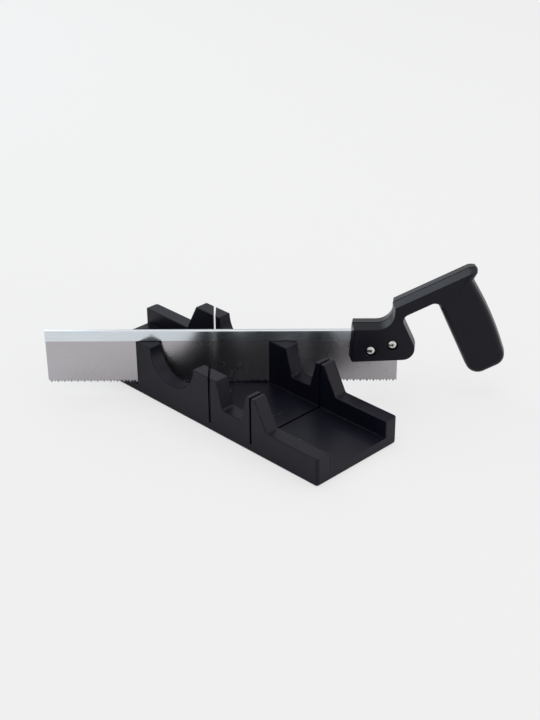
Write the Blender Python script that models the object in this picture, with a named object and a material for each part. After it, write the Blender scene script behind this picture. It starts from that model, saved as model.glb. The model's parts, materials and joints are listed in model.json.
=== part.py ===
"""Mitre box with its back saw.

A one-piece moulded trough guides the saw at 90 degrees and at 45 degrees either way. The saw
rests with its folded back on the posts of a 45 degree cut and slides along that cut.

Sizes are in metres. The trough stands on Z = 0 with its length along X, and the origin is in
the middle of its underside. The saw's pieces hang on an empty at the crossing of the two mitre
cuts, turned so that its own X runs along the blade from toe to heel.
"""

import math

import bmesh
import bpy
from mathutils import Matrix, Vector

# Clearances shared by all pieces
FIT_GAP = 0.0003
OVERRUN = 0.004
MERGE_DISTANCE = 0.00001

# Trough: length, width and the two heights of its walls
BOX_LENGTH = 0.300
BOX_WIDTH = 0.095
WALL_THICKNESS = 0.0135
FLOOR_TOP = 0.010
LOW_WALL_HEIGHT = 0.026
POST_HEIGHT = 0.051
BOX_EDGE_RADIUS = 0.0008
FLOOR_TUCK = 0.0025

# Cuts that guide the blade
SAW_ANGLE = math.radians(45)
CUT_WIDTH = 0.002
KERF_DEPTH = 0.002
CROSSING_X = -0.0208
SQUARE_CUT_X = 0.0753

# Posts beside the cuts, measured along the wall
MITRE_POST_INNER = 0.01325
REAR_POST_OUTER = 0.01775
FRONT_POST_OUTER = 0.01525
SQUARE_POST_HALF = 0.0049
GENTLE_FLANK_RUN = 0.0132
STEEP_FLANK_RUN = 0.0068
SCOOP_DEPTH = 0.0265

# Coring of the underside
WALL_SKIN = 0.0025
FLOOR_SKIN = 0.0035
CUT_SKIN = 0.002
RIB_THICKNESS = 0.0022
RIB_SPACING = 0.034

# Mark of the mould's gate in the middle of the floor
GATE_RADIUS = 0.0032
GATE_NUB_RADIUS = 0.0011
GATE_DEPTH = 0.0006

# Blade
BLADE_LENGTH = 0.305
BLADE_THICKNESS = 0.0009
TOE_REACH = 0.1443
TOE_LAND = 0.0012
TOOTH_PITCH = 0.00288
TOOTH_DEPTH = 0.0024
TOOTH_SET = 0.0002
FILE_ANGLE = math.radians(20)

# Folded back
BACK_HEIGHT = 0.010
BACK_THICKNESS = 0.0036
BACK_SHEET = 0.00105
BACK_BEND_RADIUS = 0.001
STRIP_EDGE_RADIUS = 0.00015

# How far the blade and its back reach into the handle
BLADE_GRIPPED = 0.0402
BACK_GRIPPED = 0.0224

# Handle, in the plane of the blade, from the block's upper front corner
BLOCK_COVER = 0.0064
BLOCK_HEIGHT = 0.0342
BLOCK_END_LEAN = math.radians(3.8)
BLOCK_TOP_LENGTH = 0.0345
BLOCK_BACK_START = 0.0470
BLOCK_FOOT_ANGLE = math.radians(2.3)
NECK_RISE = 0.0192
ARM_ANGLE = math.radians(27.0)
ARM_DEPTH = 0.0134
HORN_RISE = 0.0519
HORN_REACH = 0.1062
HORN_UNDER_ANGLE = math.radians(64.1)
GRIP_ANGLE = math.radians(24.3)
FINGER_GAP = 0.0312
GRIP_BACK_REACH = 0.1082
GRIP_BACK_RISE = 0.030
GRIP_BACK_ANGLE = math.radians(29.3)
GRIP_HEEL_REACH = 0.1302
GRIP_HEEL_DROP = 0.020
GRIP_HEEL_ANGLE = math.radians(19.5)
GRIP_DROP = 0.0502
GRIP_FOOT_ANGLE = math.radians(27.5)

# Handle, across the blade
HANDLE_THICKNESS = 0.023
HANDLE_DRAFT = 0.0015
BLOCK_EDGE_RADIUS = 0.0008
HORN_TOP_EDGE_RADIUS = 0.0038
HORN_UNDER_EDGE_RADIUS = 0.0054
GRIP_EDGE_RADIUS = 0.0048
CORNER_RADIUS_MIN = 0.0003

# Fillets of the handle's outline
BLOCK_TOE_RADIUS = 0.0035
BLOCK_TOP_RADIUS = 0.0012
NECK_RADIUS = 0.013
ARM_HEEL_RADIUS = 0.0015
HORN_TOP_RADIUS = 0.0107
HORN_TIP_RADIUS = 0.0022
HORN_NOTCH_RADIUS = 0.001
GRIP_BOW_RADIUS = 0.295
GRIP_HEEL_RADIUS = 0.0112
GRIP_FRONT_RADIUS = 0.012
FINGER_TOP_RADIUS = 0.005
FINGER_FRONT_RADIUS = 0.005
BLOCK_BACK_RADIUS = 0.0118

# Screws and nuts, with places measured from the block's upper front corner
SCREW_PLACES = ((0.0161, 0.0220), (0.0346, 0.0163))
SHANK_RADIUS = 0.002
SCREW_TIP_INSET = 0.001
HEAD_RADIUS = 0.0039
HEAD_RIM = 0.0007
HEAD_HEIGHT = 0.0022
COUNTERBORE_RADIUS = 0.0049
COUNTERBORE_DEPTH = 0.0026
DRIVE_ARM_LENGTH = 0.0022
DRIVE_ARM_WIDTH = 0.001
DRIVE_DEPTH = 0.0013
NUT_SIDES = 6
NUT_ACROSS_FLATS = 0.007
NUT_HEIGHT = 0.0032
NUT_POCKET_DEPTH = 0.0038

# Pegs that line up the two halves in the grip
PEG_RADIUS = 0.0025
PEG_LENGTH = 0.005
PEG_INSET = 0.018
PEG_DEPTH_SHARES = (0.16, 0.72)

# Steps of round shapes, and the turns past which an edge is rounded or stays crisp
SCOOP_STEPS = 22
ROUND_STEPS = 24
LARGE_ARC_STEPS = 7
SMALL_ARC_STEPS = 3
EDGE_STEPS = 3
BEVEL_SEGMENTS = 2
ROUNDED_EDGE_TURN = math.radians(20)
CRISP_EDGE_TURN = math.radians(35)

# Sizes worked out from the ones above
HALF_LENGTH = BOX_LENGTH / 2
HALF_WIDTH = BOX_WIDTH / 2
INNER_HALF = HALF_WIDTH - WALL_THICKNESS
WALL_MIDDLE = HALF_WIDTH - WALL_THICKNESS / 2
MITRE_LEAN = 1 / math.tan(SAW_ANGLE)
MITRE_OFFSET = WALL_MIDDLE * MITRE_LEAN
CUT_BOTTOM = FLOOR_TOP - KERF_DEPTH
SCOOP_HALF_WIDTH = MITRE_OFFSET - MITRE_POST_INNER
BACK_BOTTOM = POST_HEIGHT + FIT_GAP
BACK_TOP = BACK_BOTTOM + BACK_HEIGHT
TIP_LEVEL = FLOOR_TOP + FIT_GAP
BLADE_TOP = BACK_TOP - BACK_SHEET - FIT_GAP
HEEL_REACH = BLADE_LENGTH - TOE_REACH
BLOCK_START = HEEL_REACH - BLADE_GRIPPED
BACK_END = BLOCK_START + BACK_GRIPPED
BLOCK_TOP = BACK_TOP + BLOCK_COVER
HALF_HANDLE = HANDLE_THICKNESS / 2
SEAM = FIT_GAP / 2
SHANK_HOLE_RADIUS = SHANK_RADIUS + FIT_GAP


def clear_scene():
    """Remove every object of the scene."""
    for item in list(bpy.data.objects):
        bpy.data.objects.remove(item, do_unlink=True)


def make_material(name, colour, roughness, metallic):
    """Return a Principled material."""
    material = bpy.data.materials.new(name)
    material.use_nodes = True
    shader = material.node_tree.nodes["Principled BSDF"]
    shader.inputs["Base Color"].default_value = (*colour, 1.0)
    shader.inputs["Roughness"].default_value = roughness
    shader.inputs["Metallic"].default_value = metallic
    return material


def add_object(name, mesh_builder, material=None):
    """Turn a finished bmesh into a named object of the scene."""
    mesh = bpy.data.meshes.new(name)
    mesh_builder.to_mesh(mesh)
    mesh_builder.free()
    if material:
        mesh.materials.append(material)
    item = bpy.data.objects.new(name, mesh)
    bpy.context.scene.collection.objects.link(item)
    return item


def mark_cutter(item):
    """Show a cutter as wire and keep it out of renders."""
    item.hide_render = True
    item.display_type = 'WIRE'
    return item


def add_boolean(target, tool, operation, solver='EXACT'):
    """Join or cut the target with another object."""
    modifier = target.modifiers.new(tool.name, 'BOOLEAN')
    modifier.operation = operation
    modifier.solver = solver
    modifier.object = tool
    return modifier


def add_bevel(target, width, segments):
    """Round the target's edges that turn by more than the arcs' steps."""
    modifier = target.modifiers.new("edge_rounding", 'BEVEL')
    modifier.width = width
    modifier.segments = segments
    modifier.limit_method = 'ANGLE'
    modifier.angle_limit = ROUNDED_EDGE_TURN
    return modifier


def extrude_outline(mesh_builder, points, shift):
    """Add a closed prism: a face through the points, extruded by a vector."""
    face = mesh_builder.faces.new([mesh_builder.verts.new(point) for point in points])
    grown = bmesh.ops.extrude_face_region(mesh_builder, geom=[face])
    moved = [part for part in grown["geom"] if isinstance(part, bmesh.types.BMVert)]
    bmesh.ops.translate(mesh_builder, verts=moved, vec=shift)
    bmesh.ops.recalc_face_normals(mesh_builder, faces=mesh_builder.faces)


def box_points(low, high, level):
    """Return the four corners of an upright rectangle's plan at one level."""
    return [
        Vector((low[0], low[1], level)),
        Vector((high[0], low[1], level)),
        Vector((high[0], high[1], level)),
        Vector((low[0], high[1], level)),
    ]


def add_box(mesh_builder, low, high):
    """Add a closed box between two corners."""
    rise = Vector((0, 0, high[2] - low[2]))
    extrude_outline(mesh_builder, box_points(low, high, low[2]), rise)


def turned_solid(mesh_builder, profile, steps):
    """Revolve (radius, height) pairs about Z; they end on the axis or close on themselves."""
    verts = [mesh_builder.verts.new((radius, 0, height)) for radius, height in profile]
    edges = [mesh_builder.edges.new(pair) for pair in zip(verts, verts[1:])]
    bmesh.ops.spin(
        mesh_builder, geom=verts + edges, cent=Vector(), axis=Vector((0, 0, 1)),
        angle=math.tau, steps=steps, use_merge=True,
    )
    bmesh.ops.remove_doubles(mesh_builder, verts=mesh_builder.verts, dist=MERGE_DISTANCE)
    bmesh.ops.recalc_face_normals(mesh_builder, faces=mesh_builder.faces)


def cylinder(mesh_builder, radius, low, high, steps):
    """Add a closed cylinder about Z."""
    turned_solid(mesh_builder, [(0, low), (radius, low), (radius, high), (0, high)], steps)


# Outlines made of straight sides with filleted corners


def line_through(point, angle):
    """Return a line as a point and a unit direction."""
    return Vector(point), Vector((math.cos(angle), math.sin(angle)))


def shifted(line, distance):
    """Return the line moved to its left by a distance."""
    point, direction = line
    return point + Vector((-direction.y, direction.x)) * distance, direction


def meet(first, second):
    """Return the point where two lines cross."""
    offset = second[0] - first[0]
    turn = first[1].cross(second[1])
    return first[0] + first[1] * (offset.cross(second[1]) / turn)


def fillet_points(before, corner, after, radius, steps):
    """Return the points of the arc that rounds a corner."""
    incoming = (corner - before).normalized()
    outgoing = (after - corner).normalized()
    turn = math.atan2(incoming.cross(outgoing), incoming.dot(outgoing))
    reach = radius * math.tan(abs(turn) / 2)
    side = Vector((-incoming.y, incoming.x)) * math.copysign(radius, turn)
    centre = corner - incoming * reach + side
    start = -side
    points = []
    for step in range(steps + 1):
        angle = turn * step / steps
        swung = Vector((
            start.x * math.cos(angle) - start.y * math.sin(angle),
            start.x * math.sin(angle) + start.y * math.cos(angle),
        ))
        points.append(centre + swung)
    return points


def rounded_outline(corners, radii, steps):
    """Return the closed outline through the corners, each rounded by its own radius."""
    count = len(corners)
    points = []
    for index in range(count):
        before = corners[index - 1]
        after = corners[(index + 1) % count]
        points += fillet_points(before, corners[index], after, radii[index], steps[index])
    return points


# Trough


def wall_profile():
    """Return the long wall's side view: low ends, posts beside the cuts and the round scoop."""
    left_cut = CROSSING_X - MITRE_OFFSET
    right_cut = CROSSING_X + MITRE_OFFSET
    left_post = left_cut - REAR_POST_OUTER
    right_post = right_cut + FRONT_POST_OUTER
    square_left = SQUARE_CUT_X - SQUARE_POST_HALF
    square_right = SQUARE_CUT_X + SQUARE_POST_HALF
    points = [
        (-HALF_LENGTH, 0), (-HALF_LENGTH, LOW_WALL_HEIGHT),
        (left_post - GENTLE_FLANK_RUN, LOW_WALL_HEIGHT), (left_post, POST_HEIGHT),
    ]
    for step in range(SCOOP_STEPS + 1):
        angle = math.pi * step / SCOOP_STEPS
        points.append((
            CROSSING_X - SCOOP_HALF_WIDTH * math.cos(angle),
            POST_HEIGHT - SCOOP_DEPTH * math.sin(angle),
        ))
    points += [
        (right_post, POST_HEIGHT), (right_post + STEEP_FLANK_RUN, LOW_WALL_HEIGHT),
        (square_left - STEEP_FLANK_RUN, LOW_WALL_HEIGHT), (square_left, POST_HEIGHT),
        (square_right, POST_HEIGHT), (square_right + GENTLE_FLANK_RUN, LOW_WALL_HEIGHT),
        (HALF_LENGTH, LOW_WALL_HEIGHT), (HALF_LENGTH, 0),
    ]
    return points


def make_walls(material):
    """Extrude the profile twice, once for each long wall, and round the edges."""
    mesh_builder = bmesh.new()
    for outer in (-HALF_WIDTH, INNER_HALF):
        outline = [Vector((x, outer, z)) for x, z in wall_profile()]
        extrude_outline(mesh_builder, outline, Vector((0, WALL_THICKNESS, 0)))
    walls = add_object("mitre_box", mesh_builder, material)
    add_bevel(walls, BOX_EDGE_RADIUS, BEVEL_SEGMENTS)
    return walls


def make_floor():
    """Return the slab between the walls, tucked into both."""
    mesh_builder = bmesh.new()
    reach = INNER_HALF + FLOOR_TUCK
    add_box(mesh_builder, (-HALF_LENGTH, -reach, 0), (HALF_LENGTH, reach, FLOOR_TOP))
    return mark_cutter(add_object("floor_slab", mesh_builder))


def make_cut(name, centre_x, angle):
    """Return the tool for one cut: a sheet through both walls that also scores the floor."""
    reach = BOX_WIDTH / math.sin(angle) / 2 + BOX_WIDTH / 2
    half = CUT_WIDTH / 2
    mesh_builder = bmesh.new()
    add_box(mesh_builder, (-reach, -half, CUT_BOTTOM), (reach, half, POST_HEIGHT + OVERRUN))
    tool = mark_cutter(add_object(name, mesh_builder))
    tool.location = (centre_x, 0, 0)
    tool.rotation_euler = (0, 0, angle)
    return tool


def stations(wall_side):
    """List where the coring leaves webs: (place at the wall's middle, lean, half thickness)."""
    cut_half = CUT_WIDTH / 2 + CUT_SKIN
    mitre_half = cut_half / math.sin(SAW_ANGLE)
    lean = wall_side * MITRE_LEAN
    fixed = [
        (-HALF_LENGTH, 0, WALL_SKIN),
        (CROSSING_X - MITRE_OFFSET, -lean, mitre_half),
        (CROSSING_X + MITRE_OFFSET, lean, mitre_half),
        (SQUARE_CUT_X, 0, cut_half),
        (HALF_LENGTH, 0, WALL_SKIN),
    ]
    webs = [fixed[0]]
    for place in fixed[1:]:
        start = webs[-1][0]
        span = place[0] - start
        bays = max(1, math.ceil(span / RIB_SPACING))
        for bay in range(1, bays):
            webs.append((start + span * bay / bays, 0, RIB_THICKNESS / 2))
        webs.append(place)
    return webs


def add_wall_pockets(mesh_builder, wall_side):
    """Core one wall from below, with each pocket's ends parallel to the webs beside it."""
    middle = wall_side * WALL_MIDDLE
    half = WALL_THICKNESS / 2 - WALL_SKIN
    top = min(LOW_WALL_HEIGHT, POST_HEIGHT - SCOOP_DEPTH) - WALL_SKIN
    webs = stations(wall_side)
    for left, right in zip(webs, webs[1:]):
        outline = [
            Vector((left[0] - left[1] * half + left[2], middle - half, -OVERRUN)),
            Vector((right[0] - right[1] * half - right[2], middle - half, -OVERRUN)),
            Vector((right[0] + right[1] * half - right[2], middle + half, -OVERRUN)),
            Vector((left[0] + left[1] * half + left[2], middle + half, -OVERRUN)),
        ]
        extrude_outline(mesh_builder, outline, Vector((0, 0, top + OVERRUN)))


def add_floor_pockets(mesh_builder):
    """Core the floor from below in two rows, with a rib along the middle."""
    bays = 2 * math.ceil(HALF_LENGTH / RIB_SPACING)
    pitch = (BOX_LENGTH - WALL_SKIN * 2 + RIB_THICKNESS) / bays
    top = FLOOR_TOP - FLOOR_SKIN
    for bay in range(bays):
        low_x = -HALF_LENGTH + WALL_SKIN + pitch * bay
        high_x = low_x + pitch - RIB_THICKNESS
        for low_y, high_y in ((-INNER_HALF, -RIB_THICKNESS / 2), (RIB_THICKNESS / 2, INNER_HALF)):
            add_box(mesh_builder, (low_x, low_y, -OVERRUN), (high_x, high_y, top))


def make_pockets():
    """Return one tool with all the pockets of the underside."""
    mesh_builder = bmesh.new()
    for wall_side in (-1, 1):
        add_wall_pockets(mesh_builder, wall_side)
    add_floor_pockets(mesh_builder)
    return mark_cutter(add_object("underside_coring", mesh_builder))


def make_gate_mark():
    """Return the ring-shaped tool that leaves the gate's nub in a shallow dimple."""
    low = FLOOR_TOP - GATE_DEPTH
    high = FLOOR_TOP + OVERRUN
    profile = [
        (GATE_NUB_RADIUS, low), (GATE_RADIUS, low), (GATE_RADIUS, high), (GATE_NUB_RADIUS, high),
        (GATE_NUB_RADIUS, low),
    ]
    mesh_builder = bmesh.new()
    turned_solid(mesh_builder, profile, ROUND_STEPS)
    return mark_cutter(add_object("gate_mark", mesh_builder))


def make_mitre_box(material):
    """Build the trough: walls and floor joined, then the cuts and the coring taken out.

    The exact solver leaves slivers open where the square cut crosses the rounded edges, so
    these closed solids are cut with the manifold solver.
    """
    trough = make_walls(material)
    add_boolean(trough, make_floor(), 'UNION', 'MANIFOLD')
    for tool in (
        make_cut("mitre_cut_left", CROSSING_X, SAW_ANGLE),
        make_cut("mitre_cut_right", CROSSING_X, math.pi - SAW_ANGLE),
        make_cut("square_cut", SQUARE_CUT_X, math.pi / 2),
        make_pockets(),
        make_gate_mark(),
    ):
        add_boolean(trough, tool, 'DIFFERENCE', 'MANIFOLD')
    return trough


# Saw, in its own frame: X along the blade from toe to heel, Y away from the screw heads


def make_saw_guide():
    """Return the empty on the cut's line that carries every piece of the saw."""
    guide = bpy.data.objects.new("saw_guide", None)
    guide.location = (CROSSING_X, 0, 0)
    guide.rotation_euler = (0, 0, SAW_ANGLE)
    bpy.context.scene.collection.objects.link(guide)
    return guide


def screw_centres():
    """Return each screw's place along the blade and its height."""
    return [(BLOCK_START + along, BLOCK_TOP - drop) for along, drop in SCREW_PLACES]


def make_bore(name, centre, radius, low, high, steps=ROUND_STEPS):
    """Return a round tool across the blade, between two distances from its mid-plane."""
    mesh_builder = bmesh.new()
    cylinder(mesh_builder, radius, low, high, steps)
    tool = mark_cutter(add_object(name, mesh_builder))
    tool.location = (centre[0], 0, centre[1])
    tool.rotation_euler = (-math.pi / 2, 0, 0)
    return tool


def tooth_layout():
    """Return the number of teeth and their pitch; the heel cuts the last tooth at its tip."""
    toothed = BLADE_LENGTH - TOE_LAND
    count = round(toothed / TOOTH_PITCH + 1 / 2)
    return count, toothed / (count - 1 / 2)


def blade_side(mesh_builder, face):
    """Add one face of the sheet, -1 at the front, and return its rim from toe to heel.

    The gullets are filed across the sheet at a slant that changes sides from one to the next.
    So each tooth is narrower and shorter on one face and comes to a point on the other, and
    its tip is set towards the point's side.
    """
    count, pitch = tooth_layout()
    slant = BLADE_THICKNESS / 2 * math.tan(FILE_ANGLE)
    shortfall = TOOTH_DEPTH * 2 * slant / (pitch / 2 + slant)
    depth = face * BLADE_THICKNESS / 2
    level = TIP_LEVEL + TOOTH_DEPTH
    first = TOE_LAND - TOE_REACH
    gullets = []
    tips = []
    for index in range(count):
        side = -1 if index % 2 else 1
        gullet = (first + pitch * index + side * face * slant, depth, level)
        height = TIP_LEVEL + (shortfall if side == face else 0)
        tip = (first + pitch * (index + 1 / 2), depth - side * TOOTH_SET, height)
        gullets.append(mesh_builder.verts.new(gullet))
        tips.append(mesh_builder.verts.new(tip))
    toe = [mesh_builder.verts.new((-TOE_REACH, depth, z)) for z in (BLADE_TOP, level)]
    heel = [mesh_builder.verts.new((HEEL_REACH, depth, z)) for z in (level, BLADE_TOP)]
    mesh_builder.faces.new(toe + gullets + heel)
    for tooth in zip(gullets, tips, gullets[1:] + heel[:1]):
        mesh_builder.faces.new(tooth)
    teeth = [vert for pair in zip(gullets, tips) for vert in pair]
    return toe + teeth + heel


def make_blade(guide, material):
    """Build the toothed sheet from its two faces and the rim between them, and bore it."""
    mesh_builder = bmesh.new()
    front = blade_side(mesh_builder, -1)
    rear = blade_side(mesh_builder, 1)
    for index in range(len(front)):
        mesh_builder.faces.new((front[index - 1], front[index], rear[index], rear[index - 1]))
    bmesh.ops.recalc_face_normals(mesh_builder, faces=mesh_builder.faces)
    blade = add_object("saw_blade", mesh_builder, material)
    blade.parent = guide
    for index, centre in enumerate(screw_centres()):
        name = f"blade_hole_{index + 1}"
        bore = make_bore(name, centre, SHANK_HOLE_RADIUS, -OVERRUN, OVERRUN)
        bore.parent = guide
        add_boolean(blade, bore, 'DIFFERENCE')
    return blade


def make_back(guide, material):
    """Build the folded back: a strip bent over the blade's upper edge."""
    half = BACK_THICKNESS / 2
    inside = BLADE_THICKNESS / 2 + FIT_GAP
    edge = (STRIP_EDGE_RADIUS, 1)
    bend = (BACK_BEND_RADIUS, SMALL_ARC_STEPS)
    section = [
        ((-half, BACK_BOTTOM), edge), ((-inside, BACK_BOTTOM), edge),
        ((-inside, BACK_TOP - BACK_SHEET), edge), ((inside, BACK_TOP - BACK_SHEET), edge),
        ((inside, BACK_BOTTOM), edge), ((half, BACK_BOTTOM), edge),
        ((half, BACK_TOP), bend), ((-half, BACK_TOP), bend),
    ]
    corners = [Vector(corner) for corner, _ in section]
    radii = [radius for _, (radius, _) in section]
    steps = [arc_steps for _, (_, arc_steps) in section]
    outline = rounded_outline(corners, radii, steps)
    mesh_builder = bmesh.new()
    toe_end = [Vector((-TOE_REACH, point.x, point.y)) for point in outline]
    extrude_outline(mesh_builder, toe_end, Vector((TOE_REACH + BACK_END, 0, 0)))
    back = add_object("saw_back", mesh_builder, material)
    back.parent = guide
    return back


def handle_lines():
    """Return the straight sides of the handle's outline as lines, in order round it."""
    top = line_through((0, 0), 0)
    neck = line_through((BLOCK_TOP_LENGTH, 0), math.pi / 2)
    arm_top = line_through((BLOCK_TOP_LENGTH, NECK_RISE), ARM_ANGLE)
    down = -math.pi / 2
    horn_top = line_through((0, HORN_RISE), 0)
    horn_under = line_through((HORN_REACH, HORN_RISE), HORN_UNDER_ANGLE)
    grip_back = line_through((GRIP_BACK_REACH, GRIP_BACK_RISE), down + GRIP_BACK_ANGLE)
    grip_heel = line_through((GRIP_HEEL_REACH, -GRIP_HEEL_DROP), down + GRIP_HEEL_ANGLE)
    block_back = line_through((BLOCK_BACK_START, 0), down + GRIP_ANGLE)
    grip_inner = shifted(block_back, FINGER_GAP)
    drop = line_through((0, -GRIP_DROP), 0)
    grip_foot = line_through(meet(grip_inner, drop), GRIP_FOOT_ANGLE)
    arm_under = shifted(arm_top, -ARM_DEPTH)
    block_foot = line_through((0, -BLOCK_HEIGHT), BLOCK_FOOT_ANGLE)
    block_end = line_through((0, 0), math.pi / 2 - BLOCK_END_LEAN)
    return {
        "block_end": block_end, "top": top, "neck": neck, "arm_top": arm_top,
        "horn_top": horn_top, "horn_under": horn_under, "grip_back": grip_back,
        "grip_heel": grip_heel, "grip_foot": grip_foot, "grip_inner": grip_inner,
        "arm_under": arm_under, "block_back": block_back, "block_foot": block_foot,
    }


def handle_corners():
    """Return the outline's corners with their fillet radii and arc steps, clockwise."""
    line = handle_lines()
    return [
        (meet(line["block_foot"], line["block_end"]), BLOCK_TOE_RADIUS, SMALL_ARC_STEPS),
        (meet(line["block_end"], line["top"]), BLOCK_TOP_RADIUS, SMALL_ARC_STEPS),
        (meet(line["top"], line["neck"]), NECK_RADIUS, LARGE_ARC_STEPS),
        (meet(line["neck"], line["arm_top"]), ARM_HEEL_RADIUS, SMALL_ARC_STEPS),
        (meet(line["arm_top"], line["horn_top"]), HORN_TOP_RADIUS, SMALL_ARC_STEPS),
        (meet(line["horn_top"], line["horn_under"]), HORN_TIP_RADIUS, LARGE_ARC_STEPS),
        (meet(line["horn_under"], line["grip_back"]), HORN_NOTCH_RADIUS, LARGE_ARC_STEPS),
        (meet(line["grip_back"], line["grip_heel"]), GRIP_BOW_RADIUS, SMALL_ARC_STEPS),
        (meet(line["grip_heel"], line["grip_foot"]), GRIP_HEEL_RADIUS, LARGE_ARC_STEPS),
        (meet(line["grip_foot"], line["grip_inner"]), GRIP_FRONT_RADIUS, LARGE_ARC_STEPS),
        (meet(line["grip_inner"], line["arm_under"]), FINGER_TOP_RADIUS, LARGE_ARC_STEPS),
        (meet(line["arm_under"], line["block_back"]), FINGER_FRONT_RADIUS, LARGE_ARC_STEPS),
        (meet(line["block_back"], line["block_foot"]), BLOCK_BACK_RADIUS, LARGE_ARC_STEPS),
    ]


def side_finish():
    """Return each side's draft and edge radius; a side runs from its corner to the next."""
    block = (HANDLE_DRAFT, BLOCK_EDGE_RADIUS)
    horn_top = (HANDLE_DRAFT, HORN_TOP_EDGE_RADIUS)
    horn_under = (HANDLE_DRAFT, HORN_UNDER_EDGE_RADIUS)
    grip = (HANDLE_DRAFT, GRIP_EDGE_RADIUS)
    return [block] * 4 + [horn_top, horn_under] + [grip] * 4 + [block] * 3


def inset_corners(corners, insets):
    """Move each side inwards by its own distance and return where the sides then meet."""
    count = len(corners)
    sides = []
    for index in range(count):
        start = corners[index]
        direction = (corners[(index + 1) % count] - start).normalized()
        sides.append(shifted((start, direction), -insets[index]))
    return [meet(sides[index - 1], sides[index]) for index in range(count)]


def turns_outwards(corners, index):
    """Tell whether the clockwise outline is convex at a corner."""
    before = corners[index] - corners[index - 1]
    after = corners[(index + 1) % len(corners)] - corners[index]
    return before.cross(after) < 0


def handle_ring(edge_angle):
    """Return one ring of a half: points in the blade's plane with their distance from the seam."""
    data = handle_corners()
    finish = side_finish()
    corners = [corner for corner, _, _ in data]
    steps = [arc_steps for _, _, arc_steps in data]
    depths = []
    insets = []
    for draft, radius in finish:
        depth = HALF_HANDLE - radius + radius * math.sin(edge_angle)
        depths.append(depth)
        insets.append(draft * depth / HALF_HANDLE + radius * (1 - math.cos(edge_angle)))
    radii = []
    for index, (_, radius, _) in enumerate(data):
        inset = (insets[index - 1] + insets[index]) / 2
        inset = -inset if turns_outwards(corners, index) else inset
        radii.append(max(radius + inset, CORNER_RADIUS_MIN))
    outline = rounded_outline(inset_corners(corners, insets), radii, steps)
    distances = []
    for index, arc_steps in enumerate(steps):
        for step in range(arc_steps + 1):
            share = step / arc_steps
            distances.append(depths[index - 1] * (1 - share) + depths[index] * share)
    return list(zip(outline, distances))


def seam_ring():
    """Return the ring at the seam, where the outline has its full size."""
    data = handle_corners()
    corners = [corner for corner, _, _ in data]
    radii = [radius for _, radius, _ in data]
    steps = [arc_steps for _, _, arc_steps in data]
    return [(point, SEAM) for point in rounded_outline(corners, radii, steps)]


def make_half(name, side, guide, material):
    """Loft one half of the handle from the seam to its outer face; side is -1 at the front."""
    rings = [seam_ring()]
    for step in range(EDGE_STEPS + 1):
        rings.append(handle_ring(math.pi / 2 * step / EDGE_STEPS))
    mesh_builder = bmesh.new()
    loops = []
    for ring in rings:
        loops.append([
            mesh_builder.verts.new((BLOCK_START + point.x, side * distance, BLOCK_TOP + point.y))
            for point, distance in ring
        ])
    for lower, upper in zip(loops, loops[1:]):
        for index in range(len(lower)):
            quad = (lower[index - 1], lower[index], upper[index], upper[index - 1])
            mesh_builder.faces.new(quad)
    mesh_builder.faces.new(loops[0])
    mesh_builder.faces.new(loops[-1])
    bmesh.ops.recalc_face_normals(mesh_builder, faces=mesh_builder.faces)
    half = add_object(name, mesh_builder, material)
    half.parent = guide
    return half


def cut_recess(half, name, side, guide, thickness, low, high, end):
    """Cut the hollow in a half's inner face that takes one of the steel pieces."""
    near = -side * OVERRUN
    far = side * (thickness / 2 + FIT_GAP)
    start = BLOCK_START + min(corner.x for corner, _, _ in handle_corners()) - OVERRUN
    mesh_builder = bmesh.new()
    add_box(mesh_builder, (start, min(near, far), low), (end, max(near, far), high))
    tool = mark_cutter(add_object(name, mesh_builder))
    tool.parent = guide
    add_boolean(half, tool, 'DIFFERENCE')


def cut_recesses(half, label, side, guide):
    """Cut the hollows for the blade, open below, and for the folded back."""
    below = BLOCK_TOP - BLOCK_HEIGHT - OVERRUN
    cut_recess(
        half, f"{label}_blade_recess", side, guide, BLADE_THICKNESS,
        below, BLADE_TOP + FIT_GAP, HEEL_REACH + FIT_GAP,
    )
    cut_recess(
        half, f"{label}_back_recess", side, guide, BACK_THICKNESS,
        BACK_BOTTOM - FIT_GAP, BACK_TOP + FIT_GAP, BACK_END + FIT_GAP,
    )


def peg_places():
    """Return the middles of the two pegs, along the grip's inner side."""
    line = handle_lines()
    peg_line = shifted(line["grip_inner"], PEG_INSET)
    top = meet(peg_line, line["arm_under"])
    foot = meet(peg_line, line["grip_foot"])
    places = [top.lerp(foot, share) for share in PEG_DEPTH_SHARES]
    return [(BLOCK_START + place.x, BLOCK_TOP + place.y) for place in places]


def bore_half(half, label, guide, low, high, radius, places):
    """Cut the same round hole at several places of a half."""
    for index, centre in enumerate(places):
        bore = make_bore(f"{label}_{index + 1}", centre, radius, low, high)
        bore.parent = guide
        add_boolean(half, bore, 'DIFFERENCE')


def make_front_half(guide, material):
    """Build the half that faces the user: counterbores for the heads, sockets for the pegs."""
    half = make_half("handle_front_half", -1, guide, material)
    cut_recesses(half, "front", -1, guide)
    outside = -HALF_HANDLE - OVERRUN
    seat = -HALF_HANDLE + COUNTERBORE_DEPTH
    screws = screw_centres()
    bore_half(half, "front_hole", guide, outside, OVERRUN, SHANK_HOLE_RADIUS, screws)
    bore_half(half, "counterbore", guide, outside, seat, COUNTERBORE_RADIUS, screws)
    socket_end = -SEAM - PEG_LENGTH - FIT_GAP
    bore_half(half, "peg_socket", guide, socket_end, OVERRUN, PEG_RADIUS + FIT_GAP, peg_places())
    return half


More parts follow.
